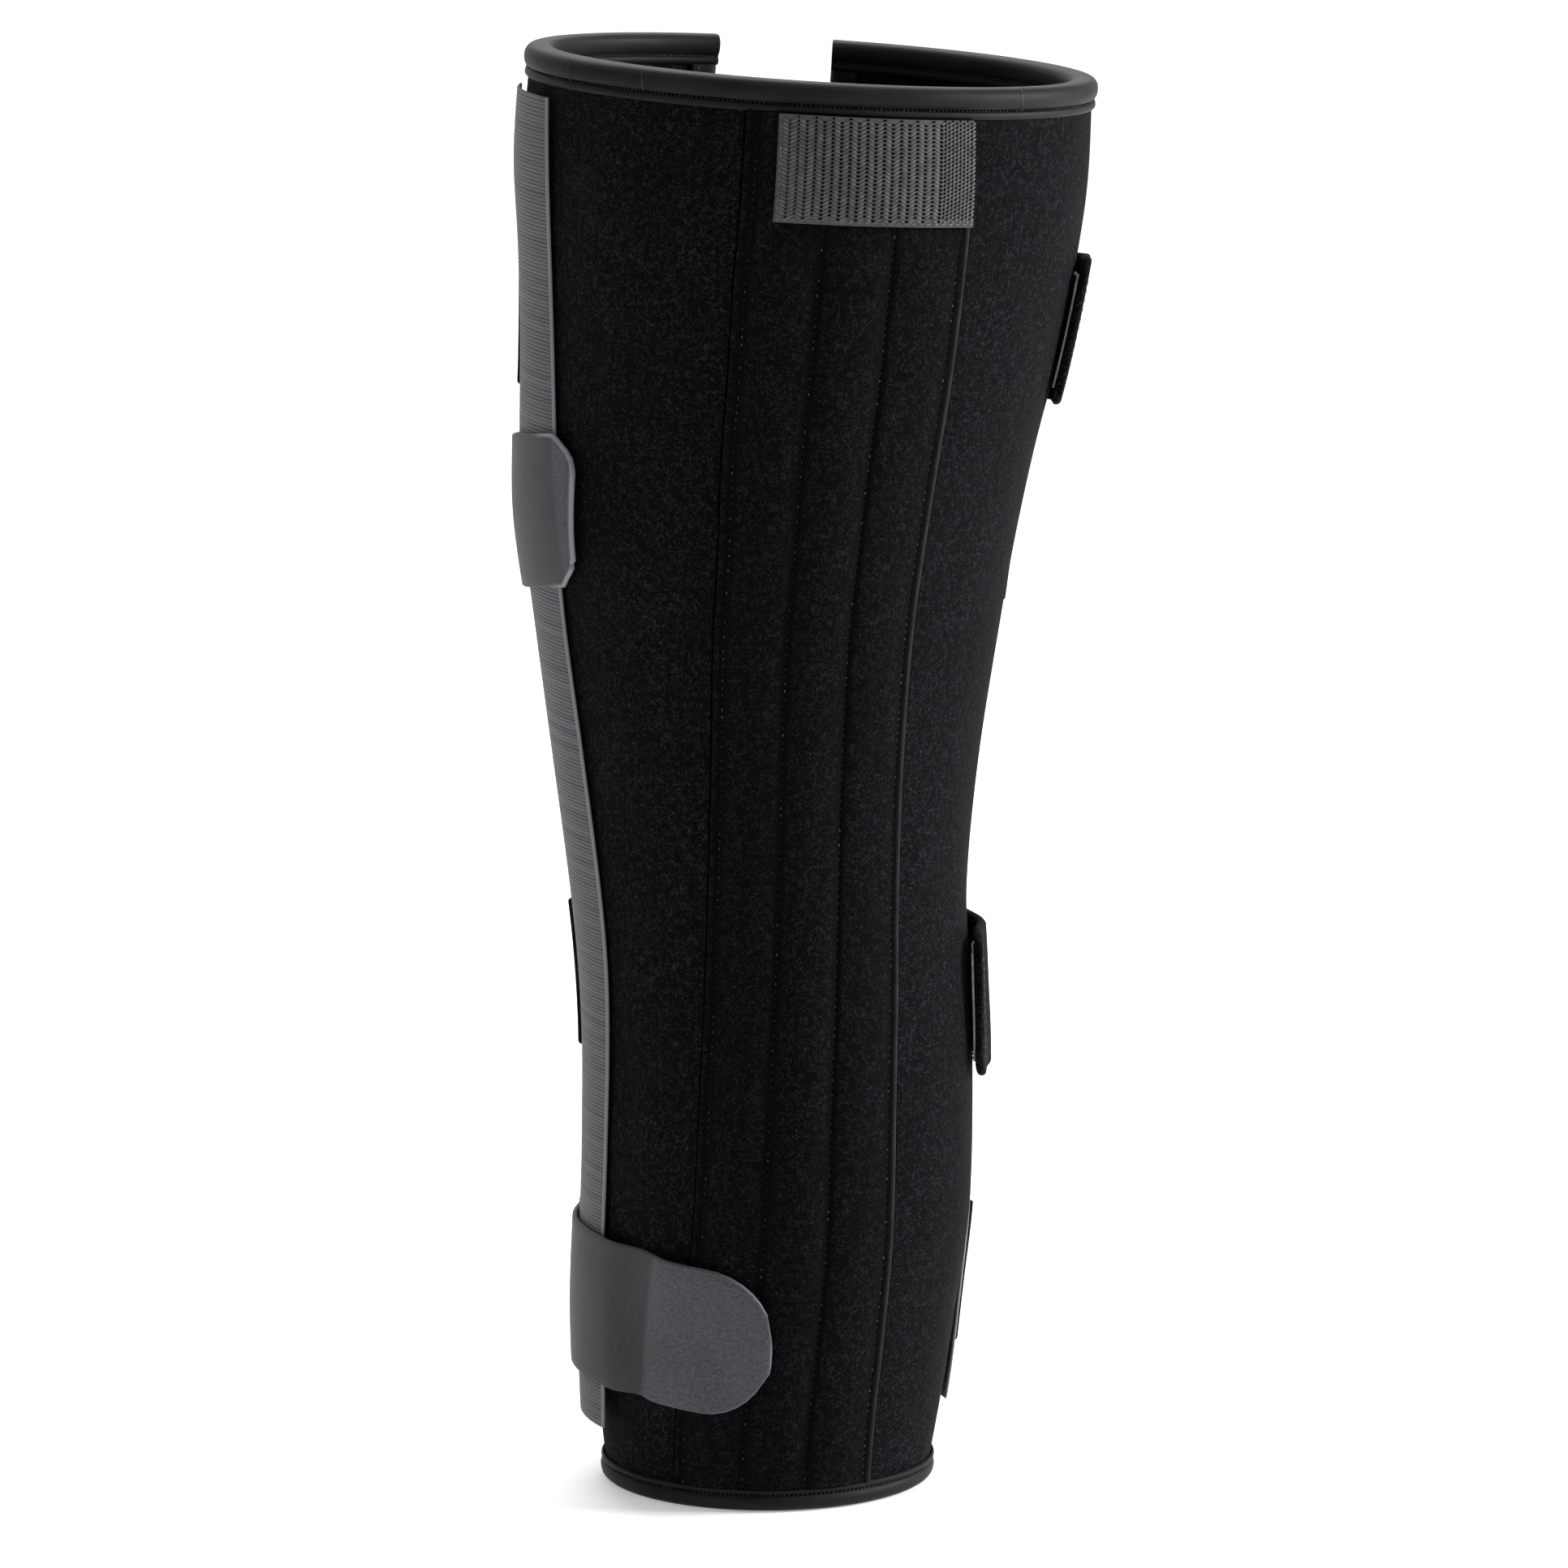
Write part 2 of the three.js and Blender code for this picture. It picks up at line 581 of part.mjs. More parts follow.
const brace = new THREE.Group();
brace.add(
  wrapBody(),
  rimBinding("top_binding", TOP_BINDING, (over) => LENGTH - over),
  rimBinding("bottom_binding", BOTTOM_BINDING, (over) => over),
  frontBinding("front_binding_left", -1),
  frontBinding("front_binding_right", 1),
  stayPanel(),
  hookPatch(),
  sideStrip("side_strip_left", -1, LEFT_STRIP_DROP),
  sideStrip("side_strip_right", 1, RIGHT_STRIP_DROP),
  ...TAPED_STRAPS.flatMap(tapedStrap),
  ...TABBED_STRAPS.flatMap(tabbedStrap),
);

// The frame's origin is under the middle of the whole brace.
const middle = new THREE.Box3().setFromObject(brace).getCenter(new THREE.Vector3());
brace.position.set(-middle.x, -middle.y, 0);
const kneeImmobilizer = new THREE.Group();
kneeImmobilizer.add(brace);

export default kneeImmobilizer;
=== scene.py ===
"""A knee immobilizer, dressed: foam wrap, sewn stay panel, bound edges, side strips and straps.

The wrap stands on its bottom rim, +Z up the leg, with the back of the knee at -Y and +X at the right
of a back view. Sizes in the classes are millimetres, as they are in the workshop, and meshes are
made in metres.
"""

import logging
import math
from dataclasses import dataclass
from enum import Enum
from functools import lru_cache
from typing import Callable, Iterable, NamedTuple, Sequence

import bmesh
import bpy
from mathutils import Matrix, Vector, noise

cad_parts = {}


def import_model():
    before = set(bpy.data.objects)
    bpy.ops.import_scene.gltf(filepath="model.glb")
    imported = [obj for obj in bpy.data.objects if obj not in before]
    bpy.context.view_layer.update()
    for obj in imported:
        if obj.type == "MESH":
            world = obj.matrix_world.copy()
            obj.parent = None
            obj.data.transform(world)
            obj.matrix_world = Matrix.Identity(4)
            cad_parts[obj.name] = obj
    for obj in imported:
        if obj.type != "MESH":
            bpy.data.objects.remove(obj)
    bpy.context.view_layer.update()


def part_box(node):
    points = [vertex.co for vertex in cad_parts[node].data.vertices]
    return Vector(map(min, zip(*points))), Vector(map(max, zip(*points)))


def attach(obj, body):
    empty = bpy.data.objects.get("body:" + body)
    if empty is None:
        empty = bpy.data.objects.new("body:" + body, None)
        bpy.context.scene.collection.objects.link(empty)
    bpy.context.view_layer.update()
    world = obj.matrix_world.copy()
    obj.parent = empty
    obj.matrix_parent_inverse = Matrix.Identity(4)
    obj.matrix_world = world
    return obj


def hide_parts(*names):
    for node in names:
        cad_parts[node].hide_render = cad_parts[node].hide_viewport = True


LOG = logging.getLogger("knee_immobilizer")
MILLIMETRE = 0.001
HALF_TURN = math.pi
DEGREE = math.pi / 180
SHARP_ANGLE = 38 * DEGREE
EDGE_SHARE = 0.46
MERGE_REACH = 1e-7
FALLING = (1.0, 0.0)
UP = Vector((0, 0, 1))

Material = bpy.types.Material
Socket = bpy.types.NodeSocket
Mesh = bmesh.types.BMesh
Colour = tuple[float, float, float]
Place = Callable[[float, float, bool], Vector]
Chart = Callable[[float, float], tuple[float, float]]


class Side(Enum):
    """The two sides of a back view."""

    LEFT = -1
    RIGHT = 1


class Section(NamedTuple):
    """A section of the wrap's outer face, in shares of the thigh's width and depth."""

    level: float
    width: float
    depth: float
    side: float
    back: float


class SewnLine(NamedTuple):
    """Where the stay panel and the left strip lie at a level, as lengths along the face."""

    level: float
    panel: float
    wide: float
    strip: float


class Stand(NamedTuple):
    """How far the side strips stand off the wrap at a share of their own length."""

    level: float
    left: float
    right: float


class Lie(NamedTuple):
    """The level of a strap's middle at a turn in degrees from the back line."""

    turn: float
    level: float


class Bead(NamedTuple):
    """The half-length, half-width and half-height of a stitch or a hook, in millimetres."""

    length: float
    width: float
    height: float


class Ridge(NamedTuple):
    """A ridge of cloth, or a thin black line of painted shadow: its half-width, its way inside an edge, its
    height and half-thickness.
    """

    half: float
    inside: float
    proud: float
    thick: float


class Lamp(NamedTuple):
    """A soft square light: its place and side in metres, and its power in watts."""

    name: str
    place: tuple[float, float, float]
    size: float
    power: float


SECTIONS = (
    Section(level=0.0, width=0.581, depth=0.58, side=-0.024, back=0.0),
    Section(level=0.06, width=0.625, depth=0.627, side=-0.02, back=0.002),
    Section(level=0.125, width=0.663, depth=0.669, side=-0.016, back=0.006),
    Section(level=0.2, width=0.69, depth=0.701, side=-0.006, back=0.01),
    Section(level=0.31, width=0.692, depth=0.705, side=-0.004, back=0.008),
    Section(level=0.37, width=0.693, depth=0.708, side=-0.011, back=0.002),
    Section(level=0.43, width=0.704, depth=0.718, side=-0.022, back=-0.004),
    Section(level=0.52, width=0.755, depth=0.768, side=-0.027, back=-0.01),
    Section(level=0.62, width=0.826, depth=0.836, side=-0.026, back=-0.008),
    Section(level=0.68, width=0.871, depth=0.88, side=-0.024, back=-0.005),
    Section(level=0.74, width=0.903, depth=0.909, side=-0.009, back=-0.002),
    Section(level=0.8, width=0.939, depth=0.944, side=0.01, back=0.0),
    Section(level=0.865, width=0.974, depth=0.977, side=0.024, back=0.0),
    Section(level=0.925, width=1.0, depth=1.0, side=0.032, back=0.0),
    Section(level=1.0, width=0.992, depth=0.99, side=0.043, back=0.0),
)

SEWN_LINES = (
    SewnLine(level=0.0, panel=-0.031, wide=0.97, strip=0.355),
    SewnLine(level=0.06, panel=-0.032, wide=0.98, strip=0.36),
    SewnLine(level=0.125, panel=-0.024, wide=0.985, strip=0.382),
    SewnLine(level=0.2, panel=-0.021, wide=0.98, strip=0.405),
    SewnLine(level=0.31, panel=-0.014, wide=0.955, strip=0.398),
    SewnLine(level=0.37, panel=-0.001, wide=0.945, strip=0.388),
    SewnLine(level=0.43, panel=0.013, wide=0.935, strip=0.388),
    SewnLine(level=0.52, panel=0.02, wide=0.932, strip=0.42),
    SewnLine(level=0.62, panel=0.023, wide=0.96, strip=0.468),
    SewnLine(level=0.68, panel=0.031, wide=0.99, strip=0.482),
    SewnLine(level=0.74, panel=0.027, wide=1.035, strip=0.508),
    SewnLine(level=0.8, panel=0.022, wide=1.065, strip=0.542),
    SewnLine(level=0.865, panel=0.02, wide=1.09, strip=0.568),
    SewnLine(level=0.925, panel=0.023, wide=1.085, strip=0.58),
    SewnLine(level=1.0, panel=0.017, wide=1.06, strip=0.6),
)

STRIP_STAND = (
    Stand(level=0.0, left=4.2, right=2.0),
    Stand(level=0.08, left=2.2, right=1.0),
    Stand(level=0.2, left=0.0, right=0.0),
    Stand(level=0.85, left=0.0, right=0.4),
    Stand(level=1.0, left=0.8, right=2.6),
)

STRAP_LIES = {
    "strap_1": (Lie(70, 0.826), Lie(180, 0.803), Lie(250, 0.814)),
    "strap_2": (Lie(100, 0.675), Lie(180, 0.662), Lie(261, 0.68), Lie(300, 0.696)),
    "strap_3": (Lie(66, 0.346), Lie(180, 0.356), Lie(250, 0.352)),
    "strap_4": (
        Lie(100, 0.138),
        Lie(180, 0.136),
        Lie(261, 0.135),
        Lie(292, 0.134),
        Lie(325, 0.127),
        Lie(350, 0.122),
    ),
}

LAMPS = (
    Lamp("key_right", (2.7, -0.5, 1.2), 0.9, 150.0),
    Lamp("fill_left", (-2.2, -1.6, 1.1), 1.4, 10.0),
    Lamp("top_soft", (0.0, 0.2, 2.6), 2.0, 10.0),
    Lamp("backdrop_wash", (0.0, 1.6, 2.6), 2.2, 80.0),
)


def mix(low: float, high: float, share: float) -> float:
    """The value at a share of the way from low to high."""
    return low + (high - low) * share


def ease(share: float) -> float:
    """A smooth step from 0 to 1 as the share goes from 0 to 1."""
    held = min(max(share, 0.0), 1.0)
    return held * held * (3 - 2 * held)


def shares(steps: int) -> list[float]:
    """Evenly spaced shares from 0 to 1."""
    return [step / steps for step in range(steps + 1)]


def stations(low: float, high: float, step: float) -> list[float]:
    """Evenly spaced values from low to high, about a step apart."""
    return [mix(low, high, share) for share in shares(max(round((high - low) / step), 1))]


def read_table(rows: Sequence[NamedTuple], column: str, at: float) -> float:
    """Reads a column on a smooth curve through a table's rows.

    Args:
        rows: The table, sorted by its first column.
        column: The name of the column to read.
        at: The value of the first column, held to the table's ends.

    Returns:
        The column's value there.
    """
    keys = [row[0] for row in rows]
    last = len(rows) - 1
    place = min(max(at, keys[0]), keys[last])
    high = max(next(k for k in range(last + 1) if keys[k] >= place), 1)
    low = high - 1
    values = [getattr(row, column) for row in rows]

    def slope(k: int) -> float:
        """The curve's slope at a row."""
        before, after = max(k - 1, 0), min(k + 1, last)
        return (values[after] - values[before]) / (keys[after] - keys[before])

    span = keys[high] - keys[low]
    t = (place - keys[low]) / span
    rest = 1 - t
    return (
        rest * rest * (1 + 2 * t) * values[low]
        + t * t * (1 + 2 * rest) * values[high]
        + t * rest * rest * span * slope(low)
        - t * t * rest * span * slope(high)
    )


def curve_through(points: Sequence[tuple[float, float]], steps: int) -> list[Vector]:
    """Rounds a closed outline.

    Args:
        points: The outline's points, in order.
        steps: Points of the rounded outline for each of them.

    Returns:
        The rounded outline.
    """
    count = len(points)
    rounded = []
    for k in range(count):
        p = [Vector(points[(k + offset) % count]) for offset in (-1, 0, 1, 2)]
        for step in range(steps):
            t = step / steps
            bend = 2 * p[0] - 5 * p[1] + 4 * p[2] - p[3]
            twist = 3 * p[1] - p[0] - 3 * p[2] + p[3]
            rounded.append(p[1] + ((p[2] - p[0]) * t + bend * t**2 + twist * t**3) / 2)
    return rounded


def round_outline(count: int) -> list[Vector]:
    """The points of a round outline of radius 1."""
    angles = [2 * HALF_TURN * share for share in shares(count)[:-1]]
    return [Vector((math.cos(angle), math.sin(angle))) for angle in angles]


def edge_drop(distance: float, thick: float) -> float:
    """How far a face falls back at a distance from a cloth's rounded edge."""
    radius = EDGE_SHARE * thick
    inside = min(max(distance, 0.0), radius)
    return radius - math.sqrt(radius**2 - (radius - inside) ** 2)


def edged(low: float, high: float, step: float, thick: float) -> list[float]:
    """Stations across a cloth, close together round both of its rounded edges.

    Args:
        low: The first station, in millimetres.
        high: The last one.
        step: The distance between them away from the edges.
        thick: The cloth's thickness.

    Returns:
        The stations.
    """
    radius = EDGE_SHARE * thick
    near = [radius * share for share in (0.0, 0.08, 0.3, 0.62)]
    inner = stations(low + radius, high - radius, step)
    return [low + d for d in near] + inner + [high - d for d in reversed(near)]


@dataclass(frozen=True)
class LegForm:
    """The form that the wrap takes round the leg, and the lines that everything is laid by."""

    length: float = 486.0
    thigh_width: float = 189.0
    thigh_depth: float = 174.0
    wall: float = 6.0
    rim_rise: float = 11.0
    front_gap: float = 46.0
    kneecap_gap: float = 60.0
    kneecap_level: float = 0.51
    kneecap_reach: float = 0.2
    clearance: float = 0.3
    lay: float = 0.6
    top_binding: float = 10.0
    bottom_binding: float = 8.0
    front_binding: float = 8.0
    tape_proud: float = 1.3
    binding_end: float = 2.0
    panel_width: float = 68.0
    panel_cloth: float = 1.2
    panel_puff: float = 1.8
    patch_height: float = 35.0
    patch_puff: float = 0.3
    strip_width: float = 51.0
    strip_cloth: float = 2.0
    strip_bottom: float = 23.0
    left_strip_drop: float = 14.0
    right_strip_drop: float = 16.0
    right_strip_low: float = 22.0
    right_strip_high: float = 52.0
    strap_hold: float = 6 * DEGREE
    strap_ramp: float = 12.0
    shift_x: float = 0.0
    shift_y: float = 0.0

    @property
    def inner_low(self) -> float:
        """The level just over the lower binding."""
        return self.bottom_binding + self.clearance

    @property
    def inner_high(self) -> float:
        """The level just under the upper binding."""
        return self.length - self.top_binding - self.clearance

    @property
    def patch_low(self) -> float:
        """The level where the hook patch ends and the panel's channels start."""
        return self.length - self.top_binding - self.patch_height

    @lru_cache(maxsize=200000)
    def section(self, level: float) -> tuple[float, float, float, float]:
        """Half-width, half-depth, and sideways and backward shift of the outer face."""
        share = level / self.length
        return (
            read_table(SECTIONS, "width", share) * self.thigh_width / 2,
            read_table(SECTIONS, "depth", share) * self.thigh_depth / 2,
            read_table(SECTIONS, "side", share) * self.thigh_width,
            read_table(SECTIONS, "back", share) * self.thigh_width,
        )

    def radius(self, level: float) -> float:
        """The mean radius, which turns lengths round the wrap into angles."""
        wide, deep, _, _ = self.section(level)
        return (wide + deep) / 2

    def out(self, level: float, turn: float) -> Vector:
        """The direction out of the face."""
        wide, deep, _, _ = self.section(level)
        return Vector((deep * math.sin(turn), -wide * math.cos(turn), 0)).normalized()

    def point(self, level: float, turn: float, proud: float) -> Vector:
        """A point proud of the face.

        Args:
            level: Its height on the wrap, before the rim's slope.
            turn: Its angle from the back line.
            proud: How far it lies out of the face.

        Returns:
            The point, in millimetres.
        """
        wide, deep, side, back = self.section(level)
        rim = self.length - self.rim_rise / 2 * math.sin(turn)
        foot = Vector(
            (
                side + wide * math.sin(turn) + self.shift_x,
                -back - deep * math.cos(turn) + self.shift_y,
                level * rim / self.length,
            )
        )
        return foot + self.out(level, turn) * proud

    def turn_at(self, level: float, length: float) -> float:
        """The turn at a length along the face from the back line."""
        return length / self.radius(level)

    def edge_turn(self, level: float) -> float:
        """The turn of the wrap's front edge, which draws back round the kneecap."""
        away = abs(level / self.length - self.kneecap_level) / self.kneecap_reach
        gap = mix(self.kneecap_gap, self.front_gap, ease(away))
        return HALF_TURN - math.asin(gap / 2 / self.section(level)[0])

    @lru_cache(maxsize=200000)
    def panel_edges(self, level: float) -> tuple[float, float]:
        """The stay panel's edges, as lengths along the face."""
        share = level / self.length
        middle = read_table(SEWN_LINES, "panel", share) * self.thigh_width
        half = read_table(SEWN_LINES, "wide", share) * self.panel_width / 2
        return middle - half, middle + half

    @lru_cache(maxsize=200000)
    def strip_edges(self, level: float, side: Side) -> tuple[float, float]:
        """The near and far edge of a side strip, as turns."""
        near = read_table(SEWN_LINES, "strip", level / self.length) * self.thigh_width
        further = mix(self.right_strip_low, self.right_strip_high, level / self.length)
        moved = near if side is Side.LEFT else near + further
        far = moved + self.strip_width
        return self.turn_at(level, moved) * side.value, self.turn_at(level, far) * side.value

    def strip_top(self, side: Side) -> float:
        """The level of a side strip's upper end."""
        drop = self.left_strip_drop if side is Side.LEFT else self.right_strip_drop
        return self.length - drop

    @lru_cache(maxsize=200000)
    def strip_stand(self, level: float, side: Side) -> float:
        """How high a side strip's inner face stands over the wrap."""
        up = (level - self.strip_bottom) / (self.strip_top(side) - self.strip_bottom)
        return self.lay + max(read_table(STRIP_STAND, side.name.lower(), up), 0.0)

    def seat(self, level: float, turn: float) -> float:
        """How high a strap's inner face lies: over the strips, the panel and the bound edges."""
        radius = self.radius(level)
        round_turn = (turn + HALF_TURN) % (2 * HALF_TURN) - HALF_TURN

        def over(low: float, high: float, rise: float) -> float:
            """The rise over one piece, which comes down past its edges."""
            outside = max(low - round_turn, round_turn - high, 0.0) * radius
            return rise * (1 - ease((outside - self.strap_hold * radius) / self.strap_ramp))

        left, right = self.panel_edges(level)
        left_near, left_far = self.strip_edges(level, Side.LEFT)
        right_near, right_far = self.strip_edges(level, Side.RIGHT)
        edge = self.edge_turn(level) - self.front_binding / radius
        panel_rise = self.clearance + self.panel_cloth + self.panel_puff
        return self.lay + max(
            over(left_far, left_near, self.strip_stand(level, Side.LEFT) + self.strip_cloth),
            over(right_near, right_far, self.strip_stand(level, Side.RIGHT) + self.strip_cloth),
            over(self.turn_at(level, left), self.turn_at(level, right), panel_rise),
            over(edge, HALF_TURN, self.tape_proud),
            over(-HALF_TURN, -edge, self.tape_proud),
        )

    def lie_level(self, strap: str, turn: float) -> float:
        """The level of a strap's middle at a turn."""
        return read_table(STRAP_LIES[strap], "level", turn / DEGREE) * self.length

    def on_strap(self, strap: str, turn: float, across: float, proud: float) -> Vector:
        """A point of a strap.

        Args:
            strap: The strap's name.
            turn: The point's angle from the back line.
            across: How far it lies from the strap's middle, across its width.
            proud: How far it lies out of the strap's seat.

        Returns:
            The point, in millimetres.
        """
        level = self.lie_level(strap, turn)
        radius = self.radius(level)
        climb = self.lie_level(strap, turn + DEGREE) - self.lie_level(strap, turn - DEGREE)
        slope = math.atan(climb / (2 * DEGREE * radius))
        up = level + across * math.cos(slope)
        around = turn - across * math.sin(slope) / radius
        return self.point(up, around, self.seat(up, around) + proud)

    def fitted(self) -> "LegForm":
        """The same form, moved to where the frame's wrap stands."""
        reach = self.binding_end + self.clearance
        inner = [mix(self.inner_low, self.inner_high, share) for share in shares(18)]
        levels = [reach, *inner, self.length - reach]
        corners = [
            self.point(level, self.edge_turn(level) * (2 * along - 1), 0.0)
            for level in levels
            for along in shares(48)
        ]
        middle_x = (min(p.x for p in corners) + max(p.x for p in corners)) / 2
        back_y = min(p.y for p in corners)
        lowest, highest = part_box("wrap_body")
        return LegForm(
            shift_x=(lowest.x + highest.x) / 2 / MILLIMETRE - middle_x,
            shift_y=lowest.y / MILLIMETRE - back_y,
        )


def wall_mesh(
    us: Sequence[float],
    vs: Sequence[float],
    place: Place,
    chart: Chart,
    rim: Callable[[float, float], float] | None = None,
) -> Mesh:
    """Builds a closed wall of cloth or foam from a grid and its extruded copy.

    Args:
        us: Stations along the wall.
        vs: Stations across it.
        place: The point in millimetres for two stations, on the outer face if its last value is true.
        chart: The UV place for two stations, in millimetres.
        rim: How far two stations lie from the cloth's cut edge, which the finish may read.

    Returns:
        The wall's mesh in metres, with its faces pointing out.
    """
    mesh = bmesh.new()
    layer = mesh.loops.layers.uv.new("UVMap")
    near = mesh.verts.layers.float.new("rim")
    bmesh.ops.create_grid(mesh, x_segments=len(us) - 1, y_segments=len(vs) - 1, size=0.5)
    made = bmesh.ops.extrude_face_region(mesh, geom=mesh.faces[:], use_keep_orig=True)
    outer = {item for item in made["geom"] if isinstance(item, bmesh.types.BMVert)}
    spots = {}
    for vert in mesh.verts:
        column = round((vert.co.x + 0.5) * (len(us) - 1))
        row = round((vert.co.y + 0.5) * (len(vs) - 1))
        spots[vert] = (us[column], vs[row])
    for face in mesh.faces:
        for loop in face.loops:
            loop[layer].uv = Vector(chart(*spots[loop.vert])) * MILLIMETRE
    for vert, (u, v) in spots.items():
        vert.co = place(u, v, vert in outer) * MILLIMETRE
        vert[near] = rim(u, v) * MILLIMETRE if rim else 0.0
    bmesh.ops.recalc_face_normals(mesh, faces=mesh.faces[:])
    return mesh


def sweep_mesh(
    steps: Sequence[float], outline: Sequence[Vector], place: Callable[[float, Vector], Vector]
) -> Mesh:
    """Carries a closed outline along a run and closes its ends.

    Args:
        steps: Stations along the run.
        outline: The outline's points.
        place: The point in millimetres for a station and an outline point.

    Returns:
        The closed mesh in metres, with its faces pointing out.
    """
    mesh = bmesh.new()
    layer = mesh.loops.layers.uv.new("UVMap")
    count = len(outline)
    bmesh.ops.create_grid(mesh, x_segments=len(steps) - 1, y_segments=count, size=0.5)
    spots = {}
    for vert in mesh.verts:
        spots[vert] = (round((vert.co.x + 0.5) * (len(steps) - 1)), round((vert.co.y + 0.5) * count))
    for face in mesh.faces:
        for loop in face.loops:
            step, around = spots[loop.vert]
            loop[layer].uv = (step / (len(steps) - 1), around / count)
    for vert, (step, around) in spots.items():
        vert.co = place(steps[step], outline[around % count]) * MILLIMETRE
    bmesh.ops.remove_doubles(mesh, verts=mesh.verts[:], dist=MERGE_REACH)
    bmesh.ops.holes_fill(mesh, edges=[edge for edge in mesh.edges if edge.is_boundary], sides=0)
    bmesh.ops.recalc_face_normals(mesh, faces=mesh.faces[:])
    return mesh


def add_bead(mesh: Mesh, centre: Vector, along: Vector, out: Vector, size: Bead) -> None:
    """Adds one long bead of thread or plastic that lies on a face.

    Args:
        mesh: The mesh that takes it.
        centre: Its middle, in millimetres.
        along: The direction of its length.
        out: The direction out of the face.
        size: Its half-length, half-width and half-height, in millimetres.
    """
    run = (along - out * along.dot(out)).normalized()
    turned = Matrix((run, out.cross(run), out)).transposed().to_4x4()
    scale = Matrix.Diagonal((*(Vector(size) * MILLIMETRE), 1.0))
    matrix = Matrix.Translation(centre * MILLIMETRE) @ turned @ scale
    bmesh.ops.create_icosphere(mesh, subdivisions=1, radius=1.0, matrix=matrix)


def put_piece(
    mesh: Mesh,
    name: str,
    material: Material,
    replaces: Sequence[str] = (),
) -> bpy.types.Object:
    """Makes a finished piece of a mesh and hangs it on the frame.

    Args:
        mesh: The piece's mesh, which is freed.
        name: The piece's name.
        material: Its finish.
        replaces: The frame's nodes that it stands for.

    Returns:
        The piece.
    """
    for face in mesh.faces:
        face.smooth = True
    for edge in mesh.edges:
        if len(edge.link_faces) == 2 and edge.calc_face_angle(0.0) > SHARP_ANGLE:
            edge.smooth = False
    data = bpy.data.meshes.new(name)
    mesh.to_mesh(data)
    mesh.free()
    data.materials.append(material)
    piece = bpy.data.objects.new(name, data)
    bpy.context.scene.collection.objects.link(piece)
    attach(piece, "root")
    if replaces:
        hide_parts(*replaces)
    LOG.info("%s: %d faces", name, len(data.polygons))
    return piece


def sew(
    spots: Iterable[tuple[Vector, Vector, Vector]], bead: Bead, name: str, thread: Material
) -> None:
    """Sews a line of stitches, which is one piece.

    Args:
        spots: The middle of each stitch, its run and the direction out of the cloth.
        bead: The size of a stitch.
        name: The piece's name.
        thread: Its finish.
    """
    mesh = bmesh.new()
    for centre, along, out in spots:
        add_bead(mesh, centre, along, out, bead)
    put_piece(mesh, name, thread)


